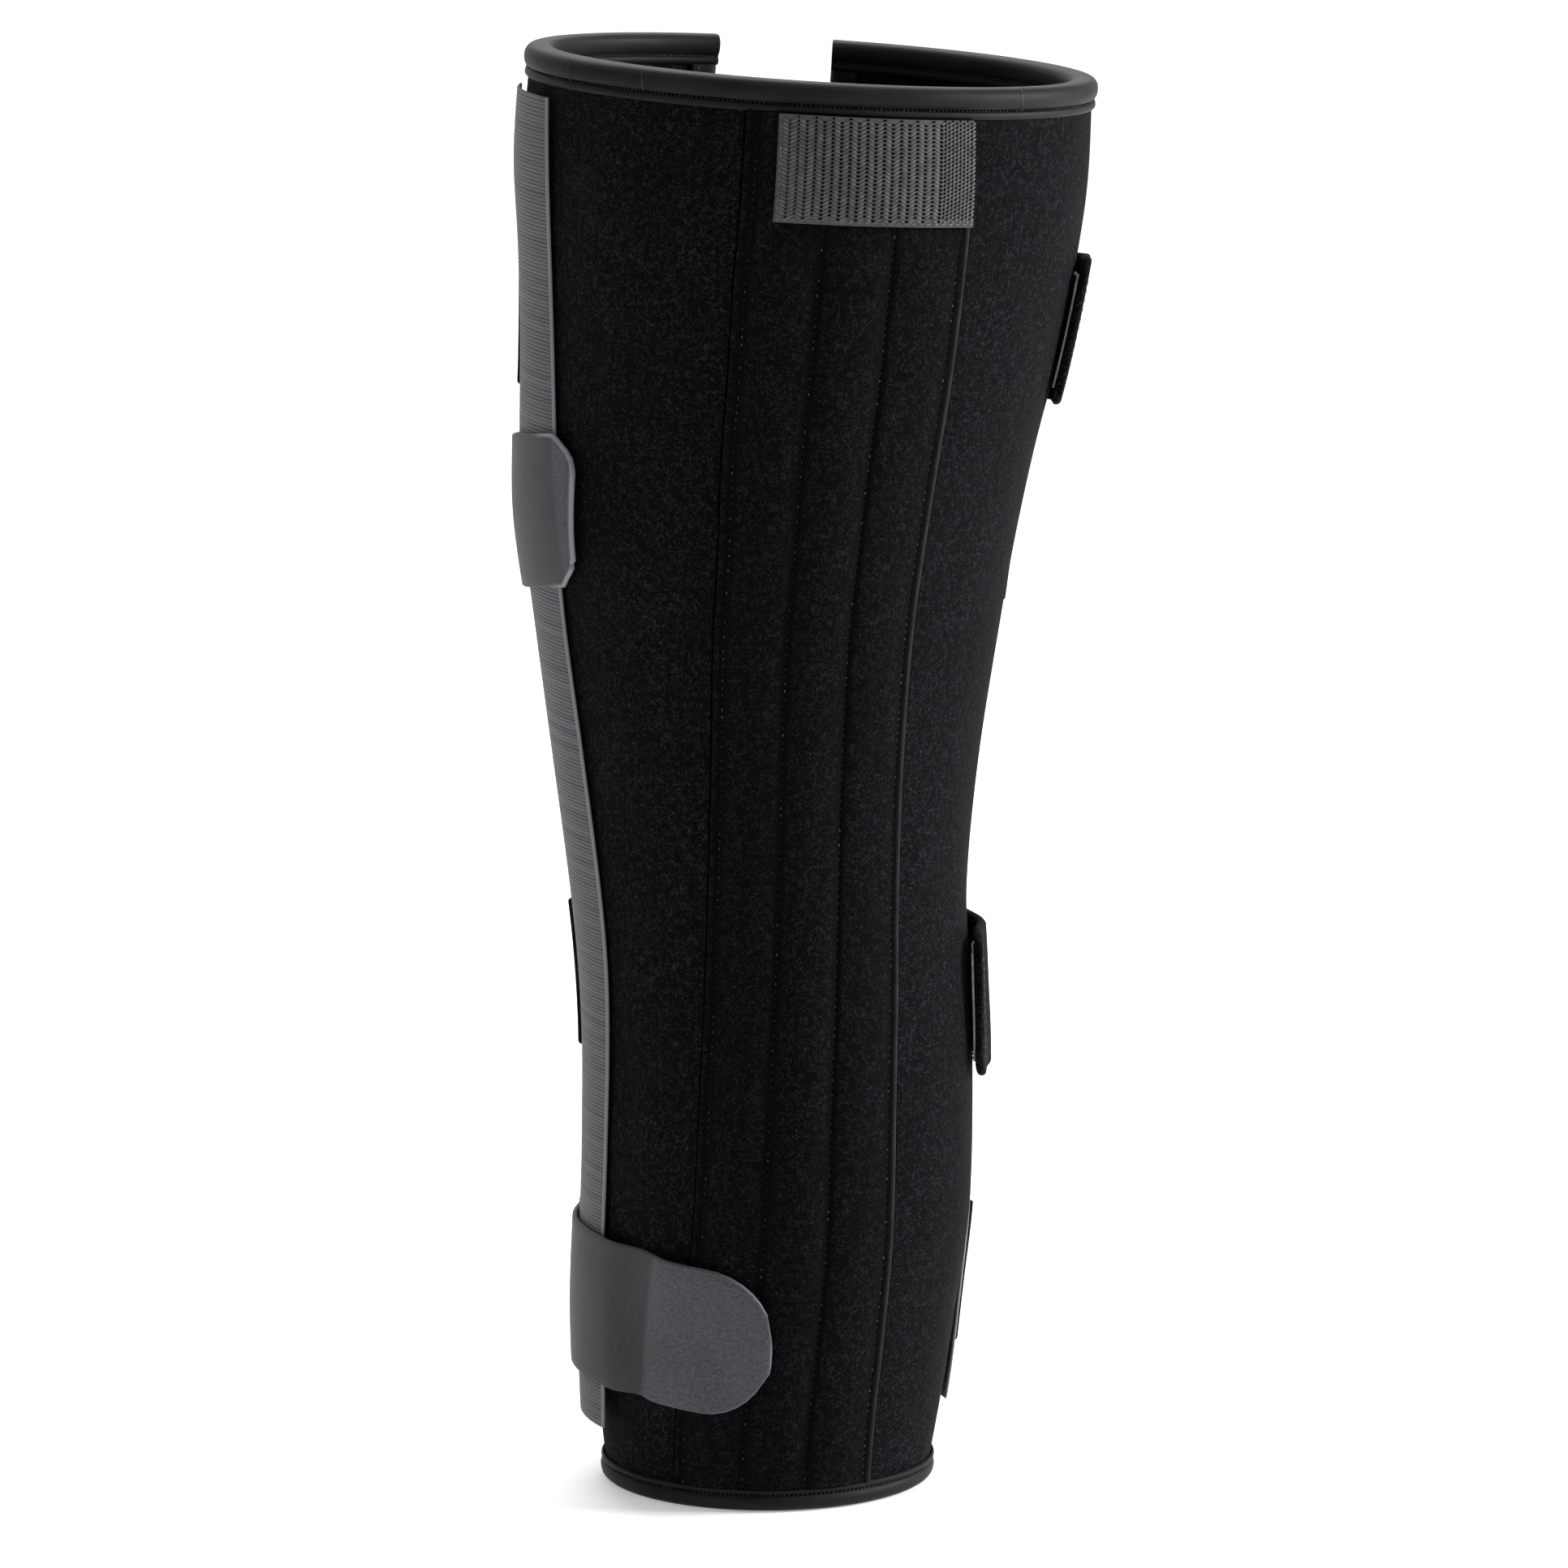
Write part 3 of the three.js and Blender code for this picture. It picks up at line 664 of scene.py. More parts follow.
class Recipe:
    """A material's nodes while they are put together."""

    def __init__(self, name: str) -> None:
        """Starts a material with one Principled shader."""
        self.material = bpy.data.materials.new(name)
        self.material.use_nodes = True
        self.tree = self.material.node_tree
        self.shader = self.tree.nodes["Principled BSDF"]
        self.coordinates = self.tree.nodes.new("ShaderNodeTexCoord")

    def put(self, socket: Socket, value: object) -> None:
        """Links a socket to another, or sets its value."""
        if isinstance(value, Socket):
            self.tree.links.new(value, socket)
        elif hasattr(value, "__len__") and len(value) == 3 and len(socket.default_value) == 4:
            socket.default_value = (*value, 1.0)
        else:
            socket.default_value = value

    def math(self, operation: str, *values: object) -> Socket:
        """The outcome of a sum on sockets and numbers."""
        node = self.tree.nodes.new("ShaderNodeMath")
        node.operation = operation
        for socket, value in zip(node.inputs, values):
            self.put(socket, value)
        return node.outputs[0]

    def away(self, value: object, middle: float = 0.5) -> Socket:
        """How far a value is from a middle."""
        return self.math("ABSOLUTE", self.math("SUBTRACT", value, middle))

    def split(self) -> tuple[Socket, Socket]:
        """The two coordinates of the piece's own UV map."""
        node = self.tree.nodes.new("ShaderNodeSeparateXYZ")
        self.put(node.inputs[0], self.coordinates.outputs["UV"])
        return node.outputs[0], node.outputs[1]

    def rim(self) -> Socket:
        """The distance from the cloth's cut edge."""
        node = self.tree.nodes.new("ShaderNodeAttribute")
        node.attribute_name = "rim"
        return node.outputs["Fac"]

    def noise(
        self,
        scale: float,
        detail: float = 2.0,
        stretch: tuple[float, float, float] | None = None,
        on_uv: bool = False,
    ) -> Socket:
        """Soft noise over the piece.

        Args:
            scale: Blotches per metre.
            detail: Octaves.
            stretch: How much finer the noise is along each axis.
            on_uv: Whether it follows the UV map.

        Returns:
            The noise's value socket.
        """
        node = self.tree.nodes.new("ShaderNodeTexNoise")
        node.inputs["Scale"].default_value = scale
        node.inputs["Detail"].default_value = detail
        source = self.coordinates.outputs["UV" if on_uv else "Object"]
        if stretch:
            mapping = self.tree.nodes.new("ShaderNodeMapping")
            mapping.inputs["Scale"].default_value = stretch
            self.put(mapping.inputs["Vector"], source)
            source = mapping.outputs[0]
        self.put(node.inputs["Vector"], source)
        return node.outputs[0]

    def span(
        self, value: object, low: float, high: float, to: tuple[float, float] = (0.0, 1.0)
    ) -> Socket:
        """A value's place between low and high, eased and clamped.

        Args:
            value: The value.
            low: Where the outcome leaves its first end.
            high: Where it comes to its second end.
            to: The outcome's two ends.

        Returns:
            The outcome's socket.
        """
        node = self.tree.nodes.new("ShaderNodeMapRange")
        node.interpolation_type = "SMOOTHSTEP"
        for socket, number in zip(node.inputs, (value, low, high, *to)):
            self.put(socket, number)
        return node.outputs[0]

    def tint(self, share: object, low: object, high: object) -> Socket:
        """A colour between two others."""
        node = self.tree.nodes.new("ShaderNodeMix")
        node.data_type = "RGBA"
        self.put(node.inputs[0], share)
        self.put(node.inputs[6], low)
        self.put(node.inputs[7], high)
        return node.outputs[2]

    def finish(
        self,
        colour: object,
        height: object,
        depth: float,
        roughness: float,
        strength: float = 1.0,
        sheen: float = 0.0,
        shine: float = 0.5,
    ) -> Material:
        """Sets the shader and gives the material.

        Args:
            colour: The surface's colour.
            height: The surface's relief, from 0 to 1.
            depth: What a relief of 1 is, in millimetres.
            roughness: The shader's roughness.
            strength: The bump's strength.
            sheen: The weight of the nap's sheen.
            shine: The shader's specular level.

        Returns:
            The finished material.
        """
        bump = self.tree.nodes.new("ShaderNodeBump")
        bump.inputs["Strength"].default_value = strength
        bump.inputs["Distance"].default_value = depth * MILLIMETRE
        self.put(bump.inputs["Height"], height)
        self.put(self.shader.inputs["Normal"], bump.outputs[0])
        self.put(self.shader.inputs["Base Color"], colour)
        self.shader.inputs["Roughness"].default_value = roughness
        self.shader.inputs["Specular IOR Level"].default_value = shine
        self.shader.inputs["Sheen Weight"].default_value = sheen
        self.shader.inputs["Sheen Roughness"].default_value = 0.6
        return self.material


@dataclass(frozen=True)
class LoopPile:
    """The wrap's black cloth: a short curly pile of loops, with lighter fibres on top, and painted shade
    along each stitched groove when a groove pitch is given.
    """

    name: str
    ground: Colour
    fibre: Colour
    curl: float = 560.0
    relief: float = 0.3
    sheen: float = 0.004
    strand: float = 0.037
    folds: float = 4.5
    first_groove: float = 0.0
    groove_pitch: float = 0.0
    groove_ends: tuple[float, float] = (0.8, 2.5)
    groove_shade_colour: Colour = (0.0006, 0.0006, 0.0006)

    def make(self) -> Material:
        """Builds the material."""
        recipe = Recipe(self.name)
        strands = []
        for stretch in ((1.0, 1.0, 1.0), (1.31, 0.83, 1.17)):
            away = recipe.away(recipe.noise(self.curl, 1.0, stretch))
            strands.append(recipe.span(away, 0.0, self.strand, FALLING))
        curls = recipe.math("MAXIMUM", *strands)
        broken = recipe.span(recipe.noise(self.curl * 0.9, 1.0, (0.9, 1.2, 0.8)), 0.33, 0.55)
        fibres = recipe.math("MULTIPLY", curls, broken)
        patches = recipe.span(recipe.noise(30.0, 3.0), 0.3, 0.7, (0.75, 1.0))
        lit = recipe.math("MULTIPLY", fibres, patches)
        fluff = recipe.noise(self.curl * 2.4, 2.0)
        folds = recipe.math("MULTIPLY", recipe.noise(38.0, 1.0, (1.0, 1.0, 0.6)), self.folds)
        relief = recipe.math("MULTIPLY_ADD", fibres, 0.6, folds)
        height = recipe.math("MULTIPLY_ADD", fluff, 0.6, relief)
        colour = recipe.tint(lit, self.ground, self.fibre)
        if self.groove_pitch:
            # Painted shade: the cloth darkens to near black along each stitched groove.
            colour = recipe.tint(self.groove_shade(recipe), colour, self.groove_shade_colour)
        return recipe.finish(
            colour, height, self.relief, roughness=0.92, strength=0.9, sheen=self.sheen, shine=0.06
        )

    def groove_shade(self, recipe: Recipe) -> Socket:
        """How much painted shade a place takes, by how near it lies to a stitched groove on the cloth's UV
        map.
        """
        across, _ = recipe.split()
        pitch = self.groove_pitch * MILLIMETRE
        start = self.first_groove * MILLIMETRE - pitch / 2
        lines = recipe.math("DIVIDE", recipe.math("SUBTRACT", across, start), pitch)
        away = recipe.away(recipe.math("FRACT", lines))
        near, far = (end / self.groove_pitch for end in self.groove_ends)
        return recipe.span(away, near, far, (0.93, 0.0))


@dataclass(frozen=True)
class BiasTape:
    """The bindings' smooth charcoal tape, with a fine grain and soft streaks."""

    name: str
    dark: Colour
    light: Colour
    roughness: float = 0.58

    def make(self) -> Material:
        """Builds the material."""
        recipe = Recipe(self.name)
        streaks = recipe.noise(60.0, 3.0, (1.0, 1.0, 2.5))
        grain = recipe.noise(1500.0, 2.0)
        colour = recipe.tint(recipe.span(streaks, 0.3, 0.72), self.dark, self.light)
        return recipe.finish(colour, grain, 0.06, self.roughness, strength=0.7, sheen=0.006, shine=0.12)


@dataclass(frozen=True)
class RibbedTape:
    """The side strips' grey tape, with darker cross bands, a grain, and a lighter band along both edges,
    partly the woven edge and partly a painted highlight on the strip's thick edge.
    """

    name: str
    dark: Colour
    light: Colour
    edge: Colour
    width: float
    pitch: float
    edge_width: float = 1.3

    def make(self) -> Material:
        """Builds the material."""
        recipe = Recipe(self.name)
        across, along = recipe.split()
        bands = recipe.noise(55.0, 4.0, (0.05, 7.0, 1.0), True)
        turns = recipe.math("MULTIPLY", along, 2 * HALF_TURN / (self.pitch * MILLIMETRE))
        ribs = recipe.math("MULTIPLY_ADD", recipe.math("COSINE", turns), 0.5, 0.5)
        grain = recipe.noise(1100.0, 2.0, (1.0, 1.0, 1.0))
        shade = recipe.math("MULTIPLY_ADD", ribs, 0.75, recipe.math("MULTIPLY", bands, 1.5))
        shade = recipe.math("ADD", shade, recipe.math("MULTIPLY", grain, 0.5))
        ground = recipe.tint(recipe.span(shade, 0.7, 1.9), self.dark, self.light)
        inside = recipe.away(across, self.width / 2 * MILLIMETRE)
        rim = (self.width / 2 - self.edge_width) * MILLIMETRE
        # Lighter band along both edges: partly the woven edge, partly a painted highlight on the thick
        # edge.
        selvedge_and_highlight = recipe.span(inside, rim, rim + 0.4 * MILLIMETRE)
        colour = recipe.tint(selvedge_and_highlight, ground, self.edge)
        return recipe.finish(colour, grain, 0.12, roughness=0.68, strength=0.8, sheen=0.03, shine=0.25)


@dataclass(frozen=True)
class GreyTab:
    """The end tabs' smooth grey cloth, grainy at the free end, darker and plainer past a line across it,
    with a painted highlight along its cut edge near the free end.
    """

    name: str
    dark: Colour
    light: Colour
    edge: Colour
    edge_width: float
    line: float

    def make(self) -> Material:
        """Builds the material."""
        recipe = Recipe(self.name)
        along, _ = recipe.split()
        grainy = recipe.span(along, self.line * MILLIMETRE, (self.line + 3.0) * MILLIMETRE, FALLING)
        weave = recipe.noise(750.0, 2.0, (1.0, 1.4, 1.0), True)
        lines = recipe.span(recipe.away(recipe.noise(600.0, 1.0)), 0.0, 0.07, FALLING)
        soft = recipe.noise(45.0, 3.0)
        share = recipe.math("MULTIPLY", soft, 0.55)
        grain = recipe.math("MULTIPLY", weave, recipe.math("MULTIPLY_ADD", grainy, 0.7, 0.5))
        curls = recipe.math("MULTIPLY", lines, recipe.math("MULTIPLY_ADD", grainy, 0.2, 0.06))
        share = recipe.math("ADD", recipe.math("ADD", share, grain), curls)
        ground = recipe.tint(recipe.span(share, 0.2, 1.6), self.dark, self.light)
        # Painted highlight: the edge colour along the cut edge, fading out between 8 and 22 mm from the
        # free end, where the edge faces the key light.
        near = recipe.span(recipe.rim(), 0.3 * MILLIMETRE, self.edge_width * MILLIMETRE, FALLING)
        tip = recipe.span(along, 8.0 * MILLIMETRE, 22.0 * MILLIMETRE, FALLING)
        colour = recipe.tint(recipe.math("MULTIPLY", near, tip), ground, self.edge)
        return recipe.finish(colour, weave, 0.08, roughness=0.66, strength=0.7, sheen=0.03, shine=0.25)


@dataclass(frozen=True)
class Thread:
    """Sewing thread, the plastic of hooks or black painted shade: each bead a little lighter or darker."""

    name: str
    dark: Colour
    light: Colour
    low: float = 0.35
    high: float = 0.7
    roughness: float = 0.4
    shine: float = 0.5

    def make(self) -> Material:
        """Builds the material."""
        recipe = Recipe(self.name)
        share = recipe.span(recipe.noise(420.0, 2.0), self.low, self.high)
        colour = recipe.tint(share, self.dark, self.light)
        grain = recipe.noise(4000.0, 1.0)
        return recipe.finish(colour, grain, 0.03, self.roughness, strength=0.5, shine=self.shine)


@dataclass(frozen=True)
class Paper:
    """The studio's pale sweep."""

    name: str
    colour: Colour
    glow: float

    def make(self) -> Material:
        """Builds the material."""
        recipe = Recipe(self.name)
        recipe.shader.inputs["Emission Color"].default_value = (1.0, 1.0, 1.0, 1.0)
        recipe.shader.inputs["Emission Strength"].default_value = self.glow
        grain = recipe.noise(300.0, 3.0)
        return recipe.finish(self.colour, grain, 0.02, roughness=0.85, strength=0.2, shine=0.1)


BODY_PILE = LoopPile("black_loop_pile", (0.0007, 0.0008, 0.0012), (0.0165, 0.0173, 0.0207))
PANEL_PILE = LoopPile(
    "black_panel_pile",
    (0.0007, 0.0008, 0.0012),
    (0.0128, 0.0134, 0.016),
    first_groove=3.0,
    groove_pitch=62 / 3,
)
STRAP_NAP = LoopPile("black_strap_nap", (0.0008, 0.0008, 0.001), (0.022, 0.022, 0.022), 600.0, 0.4, 0.005)
BINDING_TAPE = BiasTape("charcoal_bias_tape", (0.0038, 0.004, 0.0048), (0.0075, 0.0078, 0.0088))
# A lighter copy of the panel's edge cloth for its right edge only: a painted highlight where that edge
# faces the key light.
RIGHT_EDGE_HIGHLIGHT_TAPE = BiasTape("panel_edge_highlight_tape", (0.0035, 0.0036, 0.0047), (0.0095, 0.0098, 0.0118), 0.7)
# The strips' edge colour is partly the woven edge and partly a painted highlight on their thick edges.
STRIP_TAPE = RibbedTape(
    "grey_ribbed_tape", (0.013, 0.0135, 0.016), (0.09, 0.092, 0.1), (0.15, 0.152, 0.16), 51.0, 1.25
)
# Each tab's edge colour is a painted highlight along its cut edge near the free end.
SHORT_TAB = GreyTab(
    "grey_tab_short", (0.022, 0.0225, 0.026), (0.068, 0.07, 0.078), (0.2, 0.202, 0.21), 1.7, 6.0
)
LONG_TAB = GreyTab(
    "grey_tab_long", (0.018, 0.0185, 0.021), (0.07, 0.0715, 0.079), (0.09, 0.092, 0.1), 1.0, 41.0
)
SEAM_THREAD = Thread("black_thread", (0.0015, 0.0015, 0.0015), (0.075, 0.075, 0.078), 0.5, 0.68, 0.6, 0.15)
# Near-black beads and strips laid where shade falls: painted shade in the binding grooves, beside the
# panel's edges and between the hook patch's hooks.
PAINTED_SHADE_BLACK = Thread("black_painted_shade", (0.0004, 0.0004, 0.0005), (0.0012, 0.0012, 0.0014), 0.3, 0.7, 1.0, 0.0)
BINDING_THREAD = Thread("grey_thread", (0.006, 0.006, 0.006), (0.06, 0.06, 0.063), 0.4, 0.7)
TAB_THREAD = Thread("tab_thread", (0.05, 0.05, 0.053), (0.12, 0.12, 0.125))
PATCH_GROUND = Thread("patch_ground", (0.024, 0.024, 0.0265), (0.036, 0.036, 0.039), 0.3, 0.7, 0.7)
PATCH_HOOKS = Thread("patch_hooks", (0.036, 0.036, 0.04), (0.085, 0.085, 0.091), 0.3, 0.7, 0.6)
TAPE_GREY = Thread("hook_tape_grey", (0.3, 0.3, 0.3), (0.5, 0.5, 0.5), 0.3, 0.7, 0.55)
TAPE_HOOKS = Thread("hook_tape_hooks", (0.002, 0.002, 0.002), (0.03, 0.03, 0.03), 0.5, 0.75, 0.5)
STUDIO_PAPER = Paper("studio_paper", (0.82, 0.82, 0.82), 0.3)


@dataclass
class FoamWrap:
    """The foam laminate wall, faced with loop pile on both sides."""

    form: LegForm
    columns: int = 170
    step: float = 3.2
    swell: float = 0.14

    def make(self, material: Material) -> bpy.types.Object:
        """Builds the wall and gives it."""
        form = self.form
        reach = form.binding_end + form.clearance

        def place(along: float, level: float, out: bool) -> Vector:
            """A point of the wall, with the slight swell of soft foam."""
            turn = form.edge_turn(level) * along
            if not out:
                return form.point(level, turn, -form.wall)
            spot = Vector((turn * 3.0, level / 45.0, 0.0))
            return form.point(level, turn, self.swell * noise.noise(spot))

        def chart(along: float, level: float) -> tuple[float, float]:
            """The wall laid flat."""
            return along * form.edge_turn(level) * form.radius(level), level

        columns = [2 * share - 1 for share in shares(self.columns)]
        levels = stations(reach, form.length - reach, self.step)
        mesh = wall_mesh(columns, levels, place, chart)
        wrap = put_piece(mesh, "wrap_foam", material, ["wrap_body"])
        return wrap


@dataclass
class RimBinding:
    """A rolled binding round a rim: a bead over the wall, a groove with a thin black strip of painted
    shade, and a sewn edge.
    """

    form: LegForm
    height: float
    top: bool
    joins: tuple[float, ...] = ()
    proud: float = 2.0
    groove_share: float = 0.75
    turn_step: float = 1.1 * DEGREE
    ripple: float = 0.1
    # The sizes of the black strip of painted shade in the groove.
    shade_wide: float = 0.85
    shade_proud: float = 0.62
    shade_thick: float = 0.3
    stitch_pitch: float = 1.45
    stitch_proud: float = 0.85
    stitch: Bead = Bead(0.5, 0.2, 0.26)
    join_count: int = 26
    join_lean: float = 0.012
    join: Bead = Bead(0.3, 0.13, 0.1)

    @property
    def name(self) -> str:
        """The name of the binding's node."""
        return "top_binding" if self.top else "bottom_binding"

    @property
    def groove(self) -> float:
        """How far over the wall the groove lies."""
        return self.height * self.groove_share

    @property
    def reach(self) -> float:
        """The turn of the binding's ends, which lie a little past the wall's."""
        past = self.form.binding_end / self.form.radius(self.level(0))
        return self.form.edge_turn(self.level(0)) + past

    def level(self, over: float) -> float:
        """The level at a height over the wall."""
        return self.form.length - over if self.top else over

    def outline(self) -> list[Vector]:
        """The section, x proud of the wall's face and y over the wall from the rim."""
        groove, edge, tape = self.groove, self.height, self.form.tape_proud
        out = [
            (-3.0, 0.0),
            (0.1, 0.3),
            (self.proud * 0.82, groove * 0.25),
            (self.proud, groove * 0.5),
            (self.proud * 0.86, groove * 0.76),
            (0.85, groove * 0.94),
            (0.55, groove),
            (0.95, groove + 0.4),
            (tape, mix(groove, edge, 0.35)),
            (tape, mix(groove, edge, 0.8)),
            (0.85, edge),
            (0.5, edge - 0.3),
            (0.45, 2.4),
        ]
        wall = self.form.wall
        inside = [(-wall - x, y) for x, y in reversed(out[1:])]
        return curve_through(out + inside, 4)

    def make(self, tape: Material, painted_shade: Material, thread: Material) -> None:
        """Builds the roll, the painted shade in its groove, the stitches and the joins.

        Args:
            tape: The roll's tape.
            painted_shade: The black of the painted shade in the groove.
            thread: The thread of the stitches and the joins.
        """

        def place(turn: float, spot: Vector) -> Vector:
            """A point of the roll, with the slight ripple that sewing leaves."""
            ripple = self.ripple * noise.noise(Vector((turn * 9.0, spot.x * 0.4, self.height)))
            proud = spot.x + (ripple if spot.x > 0.9 else 0.0)
            return self.form.point(self.level(spot.y), turn, proud)

        turns = stations(-self.reach, self.reach, self.turn_step)
        mesh = sweep_mesh(turns, self.outline(), place)
        put_piece(mesh, self.name + "_roll", tape, [self.name])
        self.make_painted_shade(painted_shade)
        self.make_stitches(thread)
        if self.joins:
            self.make_joins(thread)

    def make_painted_shade(self, painted_shade: Material) -> None:
        """Lays a thin black strip in the groove beside the roll: painted shade where the groove is shaded.
        """

        def place(turn: float, spot: Vector) -> Vector:
            """A point of the painted shade strip."""
            level = self.level(self.groove + spot.y * self.shade_wide)
            return self.form.point(level, turn, self.shade_proud + spot.x * self.shade_thick)

        reach = self.reach - 0.02
        mesh = sweep_mesh(stations(-reach, reach, 2 * DEGREE), round_outline(8), place)
        put_piece(mesh, self.name + "_fold", painted_shade)

    def make_stitches(self, thread: Material) -> None:
        """Sews the line in the groove, through both faces of the wall."""
        form, reach = self.form, self.reach - 0.03
        level = self.level(self.groove)
        spots = []
        for turn in stations(-reach, reach, self.stitch_pitch / form.radius(self.level(0))):
            for proud in (self.stitch_proud, -form.wall - self.stitch_proud):
                centre = form.point(level, turn, proud)
                run = form.point(level, turn + 0.01, proud) - centre
                spots.append((centre, run, form.out(level, turn) * (1 if proud > 0 else -1)))
        sew(spots, self.stitch, self.name + "_stitches", thread)

    def make_joins(self, thread: Material) -> None:
        """Lays the thin joins across the roll."""
        form = self.form
        spots = []
        for turn in self.joins:
            for share in shares(self.join_count):
                angle = mix(0.15, 0.93, share) * HALF_TURN
                proud = self.proud * math.sin(angle) ** 0.6
                level = self.level(self.groove * (1 - math.cos(angle)) / 2)
                centre = form.point(level, turn + (share - 0.5) * self.join_lean, proud - 0.02)
                spots.append((centre, UP, form.out(level, turn)))
        sew(spots, self.join, self.name + "_joins", thread)


@dataclass
class FrontBinding:
    """The flat tape folded over one front edge of the wrap, with a line of stitches."""

    form: LegForm
    side: Side
    step: float = 3.5
    stitch_over: float = 5.6
    stitch_pitch: float = 3.0
    stitch: Bead = Bead(1.0, 0.25, 0.16)

    def turn(self, level: float, over: float) -> float:
        """The turn at a length in from the wrap's front edge."""
        return self.side.value * (self.form.edge_turn(level) - over / self.form.radius(level))

    def outline(self) -> list[Vector]:
        """The section, x proud of the wall's face and y in from its edge."""
        form = self.form
        deep, tape, end = form.front_binding, form.tape_proud, form.binding_end
        out = [
            (-form.wall / 2, -end),
            (-0.6, -end * 0.95),
            (0.75, -end * 0.45),
            (tape, 0.7),
            (tape, deep / 2),
            (tape * 0.95, deep - 0.7),
            (0.85, deep),
            (0.5, deep - 0.4),
            (0.5, deep / 2),
            (0.45, 0.2),
        ]
        inside = [(-form.wall - x, y) for x, y in reversed(out[1:])]
        return curve_through(out + inside, 3)

    def make(self, tape: Material, thread: Material) -> None:
        """Builds the binding and its stitches."""
        form = self.form
        name = "front_binding_" + self.side.name.lower()

        def place(level: float, spot: Vector) -> Vector:
            """A point of the binding."""
            return form.point(level, self.turn(level, spot.y), spot.x)

        levels = stations(form.inner_low, form.inner_high, self.step)
        put_piece(sweep_mesh(levels, self.outline(), place), name + "_tape", tape, [name])
        spots = []
        for level in stations(form.inner_low + 1.5, form.inner_high - 1.5, self.stitch_pitch):
            turn = self.turn(level, self.stitch_over)
            for proud in (form.tape_proud, -form.wall - form.tape_proud):
                out = form.out(level, turn) * (1 if proud > 0 else -1)
                spots.append((form.point(level, turn, proud), UP, out))
        sew(spots, self.stitch, name + "_stitches", thread)


@dataclass
class StayPanel:
    """The sewn panel up the back: three puffed channels for stays between four stitch lines."""

    form: LegForm
    seam: float = 3.0
    channels: int = 3
    steps: int = 14
    row_step: float = 2.2
    piping: float = 0.3
    pinch: float = 0.11
    crown: float = 0.55
    seam_share: float = 0.62
    ripple: float = 0.1
    pucker: float = 0.07
    end_length: float = 14.0
    end_puff: float = 0.45
    turned_edge: Ridge = Ridge(0.9, 0.6, 0.9, 0.5)
    # A thin black line just outside each edge: painted shadow where the edge stands off the wrap.
    painted_shadow_line: Ridge = Ridge(0.55, -0.55, 0.2, 0.3)
    stitch_pitch: float = 2.5
    stitch: Bead = Bead(0.52, 0.22, 0.2)

    @property
    def channel(self) -> float:
        """The share of the panel's width that one channel takes."""
        return (1 - 2 * self.seam / self.form.panel_width) / self.channels

    @property
    def seam_face(self) -> float:
        """How far the cloth stands off the wrap at a seam."""
        return self.form.clearance + self.form.panel_cloth * self.seam_share

    def columns(self) -> list[tuple[float, float]]:
        """The place of each column as a share of the width, with how full the cloth is there."""
        seam = self.seam / self.form.panel_width
        strip = []
        for share in shares(6)[:-1]:
            strip.append((seam * share, self.piping * (1 - share) ** 0.5 * ease(share * 6 + 0.25)))
        inner = []
        for channel in range(self.channels):
            for step in range(self.steps):
                share = step / self.steps
                pinched = share - self.pinch * math.sin(2 * HALF_TURN * share)
                fill = math.sin(HALF_TURN * pinched) ** self.crown if step else 0.0
                inner.append((seam + (channel + pinched) * self.channel, fill))
        mirrored = [(1 - place, fill) for place, fill in reversed(strip)]
        return [*strip, *inner, (1 - seam, 0.0), *mirrored]

    def fill(self, level: float) -> float:
        """How full the channels are at a level: they are held flat under the hook patch."""
        form = self.form
        below = (form.patch_low - level) / (form.patch_height * 0.35)
        ends = min((level - form.bottom_binding) / self.end_length, 1.0)
        return mix(form.patch_puff, 1.0, ease(below)) * mix(self.end_puff, 1.0, ease(ends))

    def make(self, cloth: Material, edge: Material, painted_shade: Material, thread: Material) -> None:
        """Builds the panel, the turned edges with a black line of painted shadow beside each, and its
        stitches.

        Args:
            cloth: The panel's pile, also of its left edge.
            edge: The tape of its right edge, lighter than the left edge's pile as a painted highlight.
            painted_shade: The black of the painted shadow lines.
            thread: The stitches' thread.
        """
        form = self.form
        columns = self.columns()

        def place(column: float, level: float, out: bool) -> Vector:
            """A point of the panel, with the small ripples that sewing leaves."""
            spot, full = columns[round(column)]
            left, right = form.panel_edges(level)
            turn = form.turn_at(level, mix(left, right, spot))
            if not out:
                return form.point(level, turn, form.clearance)
            ripple = 1 + self.ripple * noise.noise(Vector((spot * 9, level / 26, 1.0)))
            pucker = self.pucker * noise.noise(Vector((spot * 30, level / 4.5, 5.0)))
            puff = form.panel_puff * full * self.fill(level) * ripple + pucker * min(full * 3, 1.0)
            return form.point(level, turn, self.seam_face + puff)

        def chart(column: float, level: float) -> tuple[float, float]:
            """The panel laid flat."""
            return columns[round(column)][0] * form.panel_width, level

        indices = [float(k) for k in range(len(columns))]
        levels = stations(form.inner_low, form.inner_high, self.row_step)
        mesh = wall_mesh(indices, levels, place, chart)
        panel = put_piece(mesh, "stay_panel_cloth", cloth, ["stay_pocket_panel"])
        # The right turned edge takes the lighter tape as a painted highlight; the left keeps the panel's
        # pile.
        self.make_ridges("edge", self.turned_edge, {Side.LEFT: cloth, Side.RIGHT: edge})
        # A black line of painted shadow beside each edge.
        self.make_ridges("painted_shadow_line", self.painted_shadow_line, {side: painted_shade for side in Side})
        self.make_stitches(thread)

    def make_ridges(self, part: str, ridge: Ridge, finishes: dict[Side, Material]) -> None:
        """Lays a thin ridge along both sides of the panel: a turned edge of cloth, or a black line of
        painted shadow.

        Args:
            part: What the ridge is called.
            ridge: Its sizes.
            finishes: The material at each side.
        """
        form = self.form
        for side, material in finishes.items():

